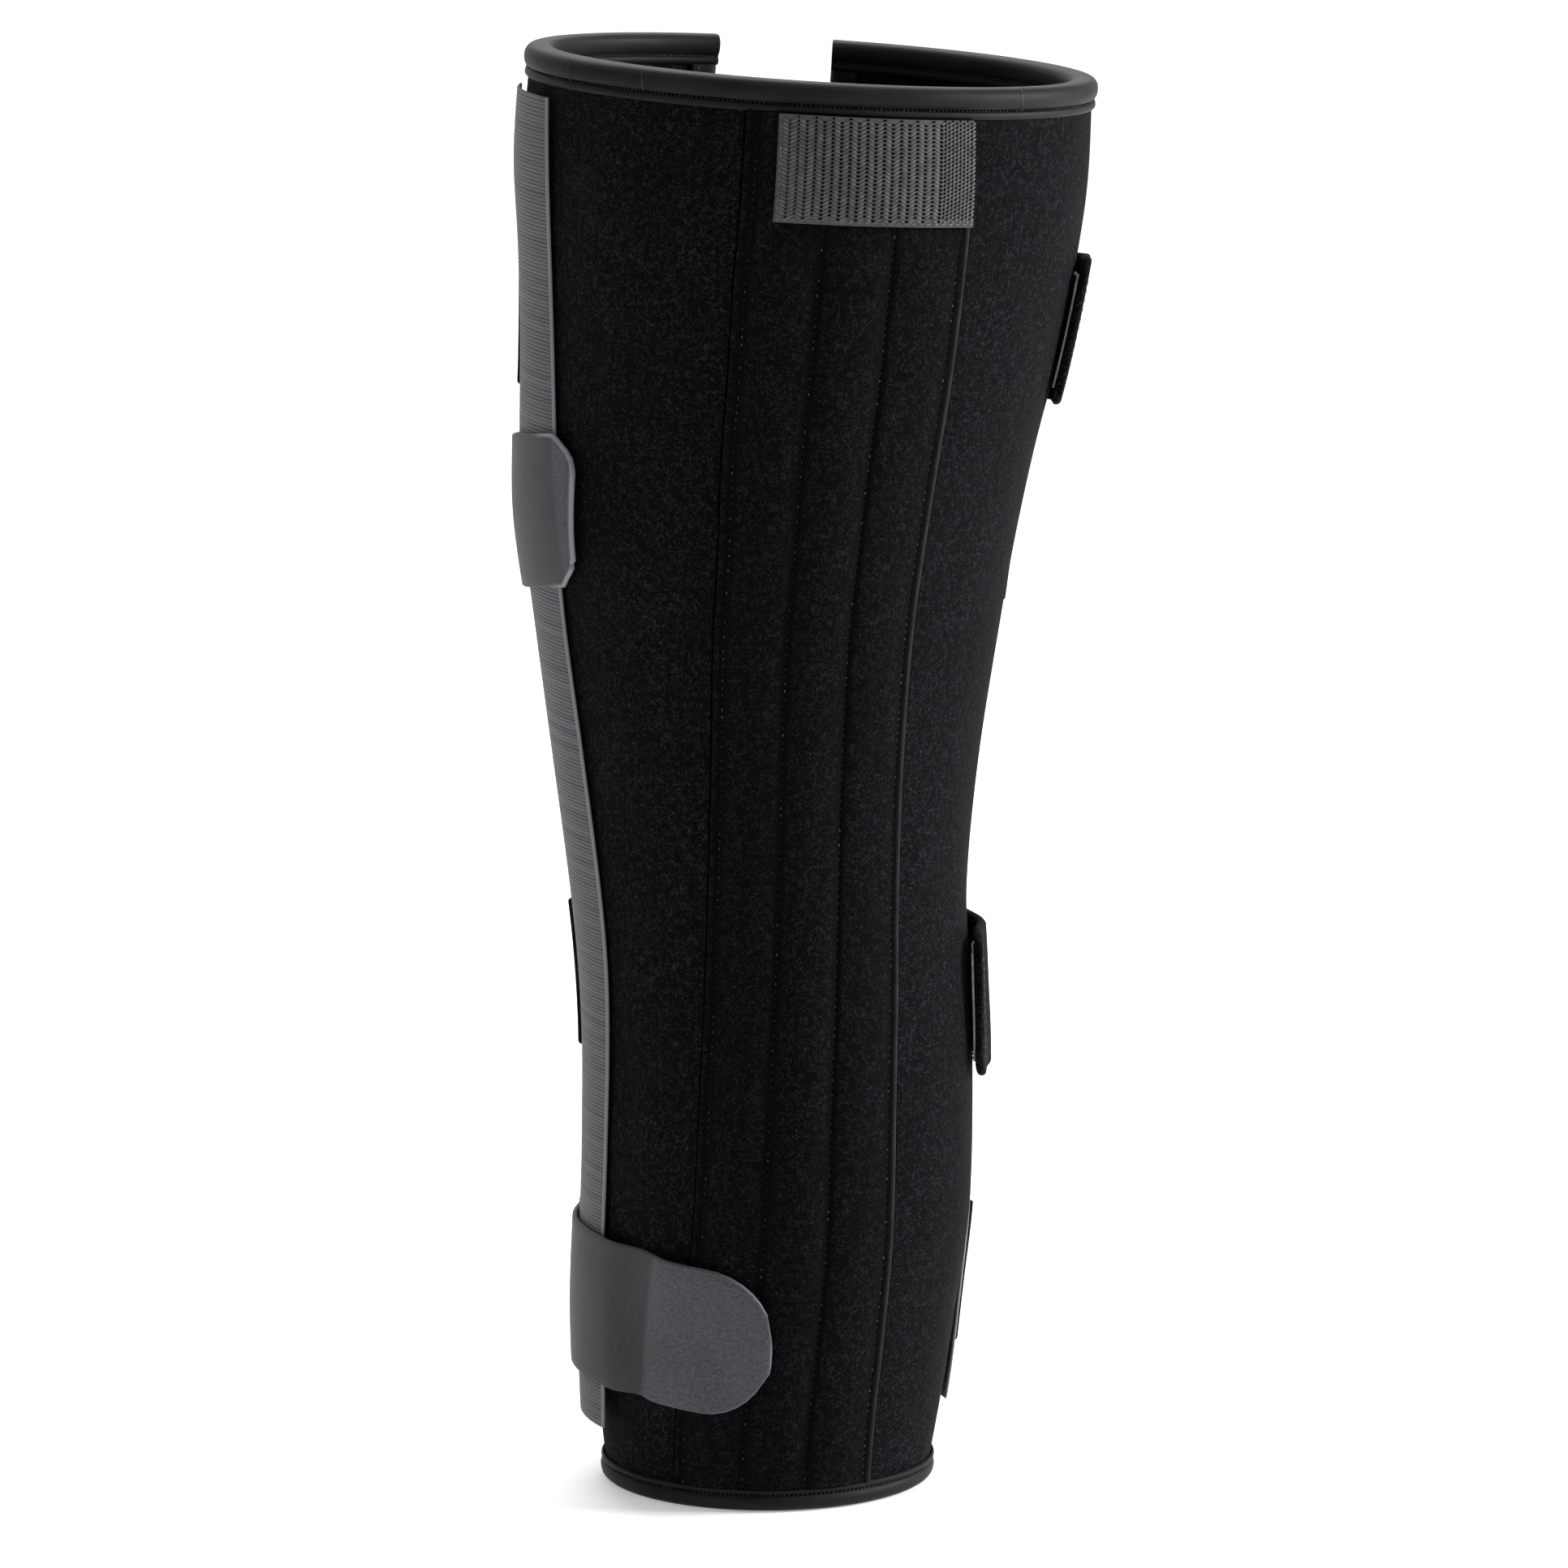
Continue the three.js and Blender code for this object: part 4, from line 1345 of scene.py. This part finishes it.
            def place(level: float, spot: Vector, side: Side = side) -> Vector:
                """A point of the ridge."""
                edge = form.panel_edges(level)[0 if side is Side.LEFT else 1]
                length = edge + side.value * (spot.x * ridge.half - ridge.inside)
                proud = form.clearance + ridge.proud + spot.y * ridge.thick
                return form.point(level, form.turn_at(level, length), proud)

            mesh = sweep_mesh(stations(form.inner_low, form.inner_high, 4.0), round_outline(10), place)
            put_piece(mesh, f"stay_panel_{part}_{side.name.lower()}", material)

    def make_stitches(self, thread: Material) -> None:
        """Sews the four lines, three of which end under the hook patch."""
        form = self.form
        spots = []
        for line in range(self.channels + 1):
            share = self.seam / form.panel_width + line * self.channel
            for level in stations(form.inner_low + 1, form.inner_high - 1, self.stitch_pitch):
                if line and level > form.patch_low:
                    continue
                left, right = form.panel_edges(level)
                turn = form.turn_at(level, mix(left, right, share))
                spots.append((form.point(level, turn, self.seam_face + 0.16), UP, form.out(level, turn)))
        sew(spots, self.stitch, "stay_panel_stitches", thread)


@dataclass
class HookPatch:
    """The grey hook patch at the panel's top, its hooks in slanted rows that make chevrons."""

    form: LegForm
    inset: float = 10.0
    cloth: float = 1.2
    step: float = 2.0
    margin: float = 0.9
    column: float = 2.6
    row: float = 1.3
    slant: float = 27 * DEGREE
    dense_from: float = 0.8
    stitch_in: float = 1.2
    stitch_pitch: float = 2.4
    stitch: Bead = Bead(0.85, 0.22, 0.2)

    @property
    def low(self) -> float:
        """The level of the patch's lower end."""
        return self.form.inner_high - self.form.patch_height

    @property
    def width(self) -> float:
        """The patch's width at its top."""
        left, right = self.form.panel_edges(self.form.inner_high)
        return right - left - self.inset

    @property
    def base(self) -> float:
        """How high the patch's inner face lies over the wrap."""
        form = self.form
        return 2 * form.clearance + form.panel_cloth + form.panel_puff * form.patch_puff

    def turn(self, level: float, across: float) -> float:
        """The turn at a length across the patch."""
        left, right = self.form.panel_edges(level)
        return self.form.turn_at(level, mix(left + self.inset, right, across / self.width))

    def make(self, ground: Material, hooks: Material, hole_shade: Material, thread: Material) -> None:
        """Builds the patch's cloth, its hooks, the painted shade between them, and the stitches round it.

        Args:
            ground: The patch's cloth.
            hooks: The plastic of its hooks.
            hole_shade: The black painted shade in the openings between the hooks.
            thread: The stitches' thread.
        """
        form, low, width = self.form, self.low, self.width

        def place(across: float, level: float, out: bool) -> Vector:
            """A point of the patch."""
            drop = edge_drop(min(across, width - across, level - low), self.cloth)
            proud = self.base + (self.cloth - drop if out else drop)
            return form.point(level, self.turn(level, across), proud)

        mesh = wall_mesh(
            edged(0, width, self.step, self.cloth),
            edged(low, form.inner_high, self.step, self.cloth),
            place,
            lambda across, level: (across, level),
        )
        put_piece(mesh, "hook_patch_cloth", ground, ["hook_patch"])
        self.make_hooks(hooks, hole_shade)
        self.make_stitches(thread)

    def make_hooks(self, hooks: Material, hole_shade: Material) -> None:
        """Lays the hooks in chevrons, denser at the patch's right, with a black bead of painted shade over
        the opening at each joint.
        """
        form, width, face = self.form, self.width, self.base + self.cloth
        rows = round((form.patch_height - 2 * self.row) / self.row)
        beads, shade_beads = bmesh.new(), bmesh.new()
        across, number = self.margin, 0
        while across < width - self.margin:
            dense = across / width > self.dense_from
            column = self.column / 2 if dense else self.column
            lean = 1 if dense or number % 2 else -1
            stagger = 0.5 * (number % 2) if dense else 0.0
            hook = Bead(column / 2, 0.4, 0.34) if dense else Bead(column / 2, 0.44, 0.26)
            wide = 0.34 if dense else mix(0.3, 0.64, ease(4 * across / width))
            drop = column / 2 * math.tan(self.slant) * lean
            for row in range(rows):
                level = self.low + self.row + (row + 0.5 + stagger) * self.row
                turn = self.turn(level, across + column / 2)
                out = form.out(level, turn)
                along = out.cross(UP) * -math.cos(self.slant) + UP * (lean * math.sin(self.slant))
                add_bead(beads, form.point(level, turn, face + 0.05), along, out, hook)
                side = self.turn(level, across + column)
                # Painted shade: a black bead over each opening between the hooks, where shade falls.
                shade_spot = form.point(level + drop + self.row / 2, side, face + 0.16)
                add_bead(shade_beads, shade_spot, UP, form.out(level, side), Bead(0.36, wide, 0.3))
            across += column
            number += 1
        put_piece(beads, "hook_patch_hooks", hooks)
        put_piece(shade_beads, "hook_patch_holes", hole_shade)

    def make_stitches(self, thread: Material) -> None:
        """Sews the patch down along its lower end and both sides."""
        form, low, width = self.form, self.low, self.width
        face = self.base + self.cloth + 0.3
        spots = []
        for across in stations(self.stitch_in, width - self.stitch_in, self.stitch_pitch):
            level = low + self.stitch_in
            turn = self.turn(level, across)
            out = form.out(low, turn)
            spots.append((form.point(level, turn, face), out.cross(UP), out))
        for level in stations(low + self.stitch_pitch, form.inner_high - self.stitch_in, self.stitch_pitch):
            for across in (1.0, width - 1.0):
                turn = self.turn(level, across)
                spots.append((form.point(level, turn, face), UP, form.out(level, turn)))
        sew(spots, self.stitch, "hook_patch_stitches", thread)


@dataclass
class SideStrip:
    """A grey tape strip down one side, ribbed across."""

    form: LegForm
    side: Side
    cloth: float = 1.2
    rib_pitch: float = 1.25
    rib_relief: float = 0.1
    plain_edge: float = 0.8
    column_step: float = 5.0

    def make(self, material: Material) -> bpy.types.Object:
        """Builds the strip and gives it."""
        form = self.form
        thick, width = self.cloth, form.strip_width
        low, high = form.strip_bottom, form.strip_top(self.side)

        def place(across: float, level: float, out: bool) -> Vector:
            """A point of the strip, ribbed on its outer face."""
            near, far = form.strip_edges(level, self.side)
            drop = edge_drop(min(across, width - across, level - low, high - level), thick)
            rib = self.rib_relief * math.cos(2 * HALF_TURN * level / self.rib_pitch)
            flat = ease(min(across, width - across) - self.plain_edge)
            proud = form.strip_stand(level, self.side) + form.strip_cloth - thick
            proud += thick - drop - self.rib_relief + rib * flat if out else drop
            return form.point(level, mix(near, far, across / width), proud)

        rows = [low + 0.3 * thick * share for share in (0.0, 0.1, 0.45)]
        rows += stations(low + thick / 2, high - thick / 2, self.rib_pitch / 4)
        rows += [high - 0.3 * thick * share for share in (0.45, 0.1, 0.0)]
        columns = edged(0, width, self.column_step, thick)
        mesh = wall_mesh(columns, rows, place, lambda across, level: (across, level))
        node = "side_strip_" + self.side.name.lower()
        strip = put_piece(mesh, node + "_tape", material, [node])
        return strip


@dataclass(frozen=True)
class EndCorner:
    """How a cloth's end is cut at one of its corners."""

    along: float
    across: float
    straight: bool = False

    def reach(self, width: float, length: float) -> float:
        """How far the cloth reaches to this side of its middle.

        Args:
            width: The cloth's full width.
            length: The length from its end.

        Returns:
            The reach, in millimetres.
        """
        short = 1 - min(max(length, 0.0), self.along) / self.along
        gone = short if self.straight else 1 - math.sqrt(1 - short * short)
        return width / 2 - self.across * gone


def end_stations(length: float, corner: float, step: float) -> list[float]:
    """Lengths from a cut end, close together at its tip."""
    near = [corner * (1 - math.cos(share * HALF_TURN / 2)) for share in shares(9)]
    return near + stations(corner, length, step)[1:]


@dataclass(kw_only=True)
class Strap:
    """What the four straps share: a run of black webbing round the wrap, with one end in sight."""

    form: LegForm
    number: int
    start: float
    finish: float
    seen_end: int = 0
    width: float = 50.0
    cloth: float = 3.0
    step: float = 2.6
    row_step: float = 3.6
    stitch: Bead = Bead(1.0, 0.24, 0.2)

    @property
    def name(self) -> str:
        """The name of the strap's node."""
        return f"strap_{self.number}"

    @property
    def radius(self) -> float:
        """The radius at the strap's end that is in sight."""
        return self.form.radius(STRAP_LIES[self.name][self.seen_end].level * self.form.length)

    @property
    def total(self) -> float:
        """The strap's length round the wrap."""
        return (self.finish - self.start) * DEGREE * self.radius

    def turn(self, length: float) -> float:
        """The turn at a length from the strap's start."""
        return self.start * DEGREE + length / self.radius

    def out(self, turn: float) -> Vector:
        """The direction out of the wrap under the strap's middle."""
        return self.form.out(self.form.lie_level(self.name, turn), turn)

    def lay_webbing(self, lengths: Sequence[float], place: Place, nap: Material) -> None:
        """Builds the webbing.

        Args:
            lengths: Its stations from the strap's start.
            place: The point for a length and a place across, from -0.5 to 0.5 of the width.
            nap: Its finish.
        """
        rows = [value / self.width - 0.5 for value in edged(0, self.width, self.row_step, self.cloth)]
        mesh = wall_mesh(lengths, rows, place, lambda length, across: (length, across * self.width))
        strap = put_piece(mesh, self.name + "_webbing", nap, [self.name])
        total = self.total
        self.width / 1000


@dataclass(kw_only=True)
class TapedStrap(Strap):
    """A strap whose free end stands off at the right, with hook tape inside it."""

    free: float
    lift: float
    tilt: float
    corner: EndCorner = EndCorner(8.0, 9.0)
    tape_inset: float = 2.4
    tape_width: float = 38.0
    tape_length: float = 30.0
    tape_cloth: float = 0.8
    tape_step: float = 2.5
    hook_pitch: tuple[float, float] = (1.5, 1.6)
    hook: Bead = Bead(0.42, 0.3, 0.4)
    stitch_pitch: float = 3.0

    def stand(self, turn: float, upper: float) -> float:
        """How far the end stands off its seat; upper is 0 at its lower edge and 1 at its upper."""
        span = (self.free - self.start) * DEGREE
        gone = min(max((self.free * DEGREE - turn) / span, 0.0), 1.0)
        clearance = self.form.clearance
        past = (turn - self.start * DEGREE) * self.radius - self.tape_length
        tape = (clearance + self.tape_cloth) * (1 - ease((past - clearance) / self.form.strap_ramp))
        return gone**2 * (self.lift + self.tilt * (upper - 0.5)) + tape

    def spot(self, length: float, across: float, proud: float) -> Vector:
        """A point at the free end, proud of the strap's inner face."""
        turn = self.turn(length)
        stand = self.stand(turn, 0.5 + across / self.width)
        return self.form.on_strap(self.name, turn, across, stand + proud)

    def make(self, nap: Material, tape: Material, hooks: Material, thread: Material) -> None:
        """Builds the strap, its hook tape with its hooks, and the tape's stitches.

        Args:
            nap: The strap's cloth.
            tape: The hook tape's cloth.
            hooks: The plastic of its hooks.
            thread: The stitches' thread.
        """
        total = self.total

        def place(length: float, across: float, out: bool) -> Vector:
            """A point of the strap."""
            half = self.corner.reach(self.width, length)
            drop = edge_drop(min(length, total - length, half * (1 - abs(2 * across))), self.cloth)
            turn = self.turn(length)
            proud = self.stand(turn, across + 0.5) + (self.cloth - drop if out else drop)
            return self.form.on_strap(self.name, turn, 2 * half * across, proud)

        ends = [total - 0.6, total - 0.1, total]
        lengths = end_stations(total - 1.4, self.corner.along, self.step) + ends
        self.lay_webbing(lengths, place, nap)
        self.make_tape(tape, hooks, thread)

    def make_tape(self, tape: Material, hooks: Material, thread: Material) -> None:
        """Builds the hook tape inside the free end."""
        first, last, half = self.tape_inset, self.tape_length, self.tape_width / 2
        base = self.form.clearance

        def place(length: float, across: float, out: bool) -> Vector:
            """A point of the tape's wall."""
            drop = edge_drop(min(length - first, last - length, half - abs(across)), self.tape_cloth)
            return self.spot(length, across, -base - drop if out else drop - base - self.tape_cloth)

        mesh = wall_mesh(
            edged(first, last, self.tape_step, self.tape_cloth),
            edged(-half, half, self.tape_step, self.tape_cloth),
            place,
            lambda length, across: (length, across),
        )
        node = f"hook_tape_{self.number}"
        put_piece(mesh, node + "_cloth", tape, [node])
        spots = []
        for across in stations(1 - half, half - 1, self.hook_pitch[0]):
            for length in stations(first + 1, last - 1, self.hook_pitch[1]):
                centre = self.spot(length, across, -base - self.tape_cloth - 0.1)
                spots.append((centre, UP, self.out(self.turn(length)) * -1))
        sew(spots, self.hook, node + "_hooks", hooks)
        spots = []
        for across in stations(2 - half, half - 2, self.stitch_pitch):
            for length in (first + 1.4, last - 1.4):
                centre = self.spot(length, across, self.cloth - 0.02)
                spots.append((centre, UP, self.out(self.turn(length))))
        sew(spots, self.stitch, node + "_stitches", thread)


@dataclass(kw_only=True)
class TabbedStrap(Strap):
    """A strap that comes round the front and ends at the left in a grey tab sewn over it."""

    tab_finish: float
    upper: EndCorner
    lower: EndCorner
    seen_end: int = -1
    start: float = 100.0
    finish: float = 232.0
    tab_start: float = 218.0
    tab_width: float = 51.0
    tab_cloth: float = 1.8
    tab_step: float = 3.0
    stitch_pitch: float = 2.8

    def over(self, turn: float) -> float:
        """How high the tab rides over the strap's end at a turn."""
        past = (turn - self.finish * DEGREE - self.form.strap_hold) * self.radius
        return (self.cloth + self.form.clearance) * (1 - ease(past / self.form.strap_ramp))

    def make(self, nap: Material, grey: Material, thread: Material) -> None:
        """Builds the strap and its tab.

        Args:
            nap: The strap's cloth.
            grey: The tab's cloth.
            thread: The stitches' thread.
        """
        total = self.total

        def place(length: float, across: float, out: bool) -> Vector:
            """A point of the strap."""
            drop = edge_drop(min(length, total - length, self.width * (0.5 - abs(across))), self.cloth)
            proud = self.cloth - drop if out else drop
            return self.form.on_strap(self.name, self.turn(length), across * self.width, proud)

        self.lay_webbing(edged(0, total, self.step, self.cloth), place, nap)
        self.make_tab(grey, thread)

    def make_tab(self, grey: Material, thread: Material) -> None:
        """Builds the grey tab and the stitches that hold it to the strap."""
        form, width, cloth = self.form, self.tab_width, self.tab_cloth
        total = (self.tab_finish - self.tab_start) * DEGREE * self.radius

        def turn_of(length: float) -> float:
            """The turn at a length from the tab's rounded end."""
            return self.tab_finish * DEGREE - length / self.radius

        def reaches(length: float) -> tuple[float, float]:
            """How far the tab reaches down and up from its middle."""
            return -self.lower.reach(width, length), self.upper.reach(width, length)

        def rim(length: float, row: float) -> float:
            """The distance from the tab's cut edge."""
            low, high = reaches(length)
            return min(length, total - length, (high - low) * min(row, 1 - row))

        def place(length: float, row: float, out: bool) -> Vector:
            """A point of the tab."""
            drop = edge_drop(rim(length, row), cloth)
            proud = self.over(turn_of(length)) + (cloth - drop if out else drop)
            return form.on_strap(self.name, turn_of(length), mix(*reaches(length), row), proud)

        def chart(length: float, row: float) -> tuple[float, float]:
            """The tab laid flat."""
            return length, mix(*reaches(length), row)

        corner = max(self.upper.along, self.lower.along)
        near = [cloth * share for share in (0.0, 0.04, 0.14, 0.28)]
        lengths = near + end_stations(total - 1.0, corner, self.step)[3:] + [total - 0.4, total]
        rows = [value / width for value in edged(0, width, self.tab_step, cloth)]
        node = f"end_tab_{self.number}"
        mesh = wall_mesh(lengths, rows, place, chart, rim)
        tab = put_piece(mesh, node + "_cloth", grey, [node])
        spots = []
        for across in stations(-width / 2 + 2, width / 2 - 2, self.stitch_pitch):
            for length in (total - 2.0, total - 10.0):
                turn = turn_of(length)
                centre = form.on_strap(self.name, turn, across, self.over(turn) + cloth)
                spots.append((centre, UP, self.out(turn)))
        sew(spots, self.stitch, node + "_stitches", thread)


@dataclass
class Studio:
    """The pale sweep, the soft lights and the camera at the photograph's angle.

    The camera's place is in millimetres like the form, the sweep and the lights are in metres.
    """

    form: LegForm
    focal_length: float = 184.29
    sensor: float = 36.0
    distance: float = 2672.0
    camera_height: float = 742.0
    azimuth: float = -9.0 * DEGREE
    pitch: float = 10.63 * DEGREE
    roll: float = 0.32 * DEGREE
    aim_height: float = 0.25
    floor: float = 7.0
    floor_width: float = 14.0
    floor_front: float = 4.0
    bend: float = 1.2
    backdrop: float = 5.0
    air: float = 0.33

    def camera(self) -> None:
        """Places the camera."""
        data = bpy.data.cameras.new("camera")
        data.lens = self.focal_length
        data.sensor_width = self.sensor
        camera = bpy.data.objects.new("camera", data)
        bpy.context.scene.collection.objects.link(camera)
        place = Vector(
            (
                self.distance * math.sin(self.azimuth) + self.form.shift_x,
                -self.distance * math.cos(self.azimuth) + self.form.shift_y,
                self.camera_height,
            )
        )
        aim = Matrix.Rotation(self.azimuth, 3, "Z") @ Matrix.Rotation(HALF_TURN / 2 - self.pitch, 3, "X")
        turned = aim @ Matrix.Rotation(self.roll, 3, "Z")
        camera.matrix_world = Matrix.Translation(place * MILLIMETRE) @ turned.to_4x4()
        data.clip_end = 50.0
        bpy.context.scene.camera = camera

    def light(self, lamp: Lamp) -> None:
        """Hangs one soft square light that looks at the brace's middle."""
        data = bpy.data.lights.new(lamp.name, "AREA")
        data.size = lamp.size
        data.energy = lamp.power
        hung = bpy.data.objects.new(lamp.name, data)
        hung.location = lamp.place
        aim = Vector((0, 0, self.aim_height)) - Vector(lamp.place)
        hung.rotation_euler = aim.to_track_quat("-Z", "Y").to_euler()
        bpy.context.scene.collection.objects.link(hung)

    def sweep(self, paper: Material) -> None:
        """Lays the pale floor, which curves up into a backdrop."""
        mesh = bmesh.new()
        bmesh.ops.create_grid(mesh, x_segments=2, y_segments=60, size=0.5)
        floor, bend, wall = self.floor, self.bend, self.backdrop
        quarter = bend * HALF_TURN / 2
        for vert in mesh.verts:
            run = (vert.co.y + 0.5) * (floor + quarter + wall)
            angle = min(max(run - floor, 0.0), quarter) / bend
            up = max(run - floor - quarter, 0.0)
            y = min(run, floor) - self.floor_front + bend * math.sin(angle)
            vert.co = Vector((vert.co.x * self.floor_width, y, bend * (1 - math.cos(angle)) + up))
        for face in mesh.faces:
            face.smooth = True
        data = bpy.data.meshes.new("studio_sweep")
        mesh.to_mesh(data)
        mesh.free()
        data.materials.append(paper)
        sweep = bpy.data.objects.new("studio_sweep", data)
        bpy.context.scene.collection.objects.link(sweep)

    def make(self, paper: Material) -> None:
        """Sets up the whole studio."""
        scene = bpy.context.scene
        scene.view_settings.view_transform = "Standard"
        self.camera()
        self.sweep(paper)
        world = bpy.data.worlds.new("studio_air")
        world.use_nodes = True
        colour, strength = world.node_tree.nodes["Background"].inputs[:2]
        colour.default_value = (1.0, 1.0, 1.0, 1.0)
        strength.default_value = self.air
        scene.world = world
        for lamp in LAMPS:
            self.light(lamp)


def main() -> None:
    """Builds the brace and the studio in order."""
    logging.basicConfig(level=logging.INFO, format="%(message)s")
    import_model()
    form = LegForm().fitted()
    LOG.info("the wrap is moved by %.3f, %.3f mm", form.shift_x, form.shift_y)
    thread = SEAM_THREAD.make()
    binding = BINDING_TAPE.make()
    binding_thread = BINDING_THREAD.make()
    FoamWrap(form).make(BODY_PILE.make())
    # Black painted shade for the binding grooves, beside the panel's edges and between the hook patch's
    # hooks.
    painted_shade = PAINTED_SHADE_BLACK.make()
    RimBinding(form, form.top_binding, True, joins=(-1.13, -0.76, 0.66)).make(binding, painted_shade, binding_thread)
    RimBinding(form, form.bottom_binding, False).make(binding, painted_shade, binding_thread)
    for side in Side:
        FrontBinding(form, side).make(binding, binding_thread)
    StayPanel(form).make(PANEL_PILE.make(), RIGHT_EDGE_HIGHLIGHT_TAPE.make(), painted_shade, thread)
    HookPatch(form).make(PATCH_GROUND.make(), PATCH_HOOKS.make(), painted_shade, TAB_THREAD.make())
    strip = STRIP_TAPE.make()
    for side in Side:
        SideStrip(form, side).make(strip)
    nap = STRAP_NAP.make()
    grey_tape = TAPE_GREY.make()
    hooks = TAPE_HOOKS.make()
    upper_tail = TapedStrap(form=form, number=1, start=70, finish=250, free=86, lift=1.0, tilt=0.3)
    lower_tail = TapedStrap(form=form, number=3, start=66, finish=250, free=88, lift=1.8, tilt=2.0)
    for tail in (upper_tail, lower_tail):
        tail.make(nap, grey_tape, hooks, binding_thread)
    short = TabbedStrap(
        form=form,
        number=2,
        tab_finish=302,
        upper=EndCorner(9, 17),
        lower=EndCorner(11, 9, straight=True),
    )
    short.make(nap, SHORT_TAB.make(), binding_thread)
    long = TabbedStrap(
        form=form,
        number=4,
        tab_finish=351.5,
        upper=EndCorner(24, 26),
        lower=EndCorner(20, 22),
    )
    long.make(nap, LONG_TAB.make(), binding_thread)
    Studio(form).make(STUDIO_PAPER.make())
    bpy.context.view_layer.update()


if __name__ == "__main__":
    main()
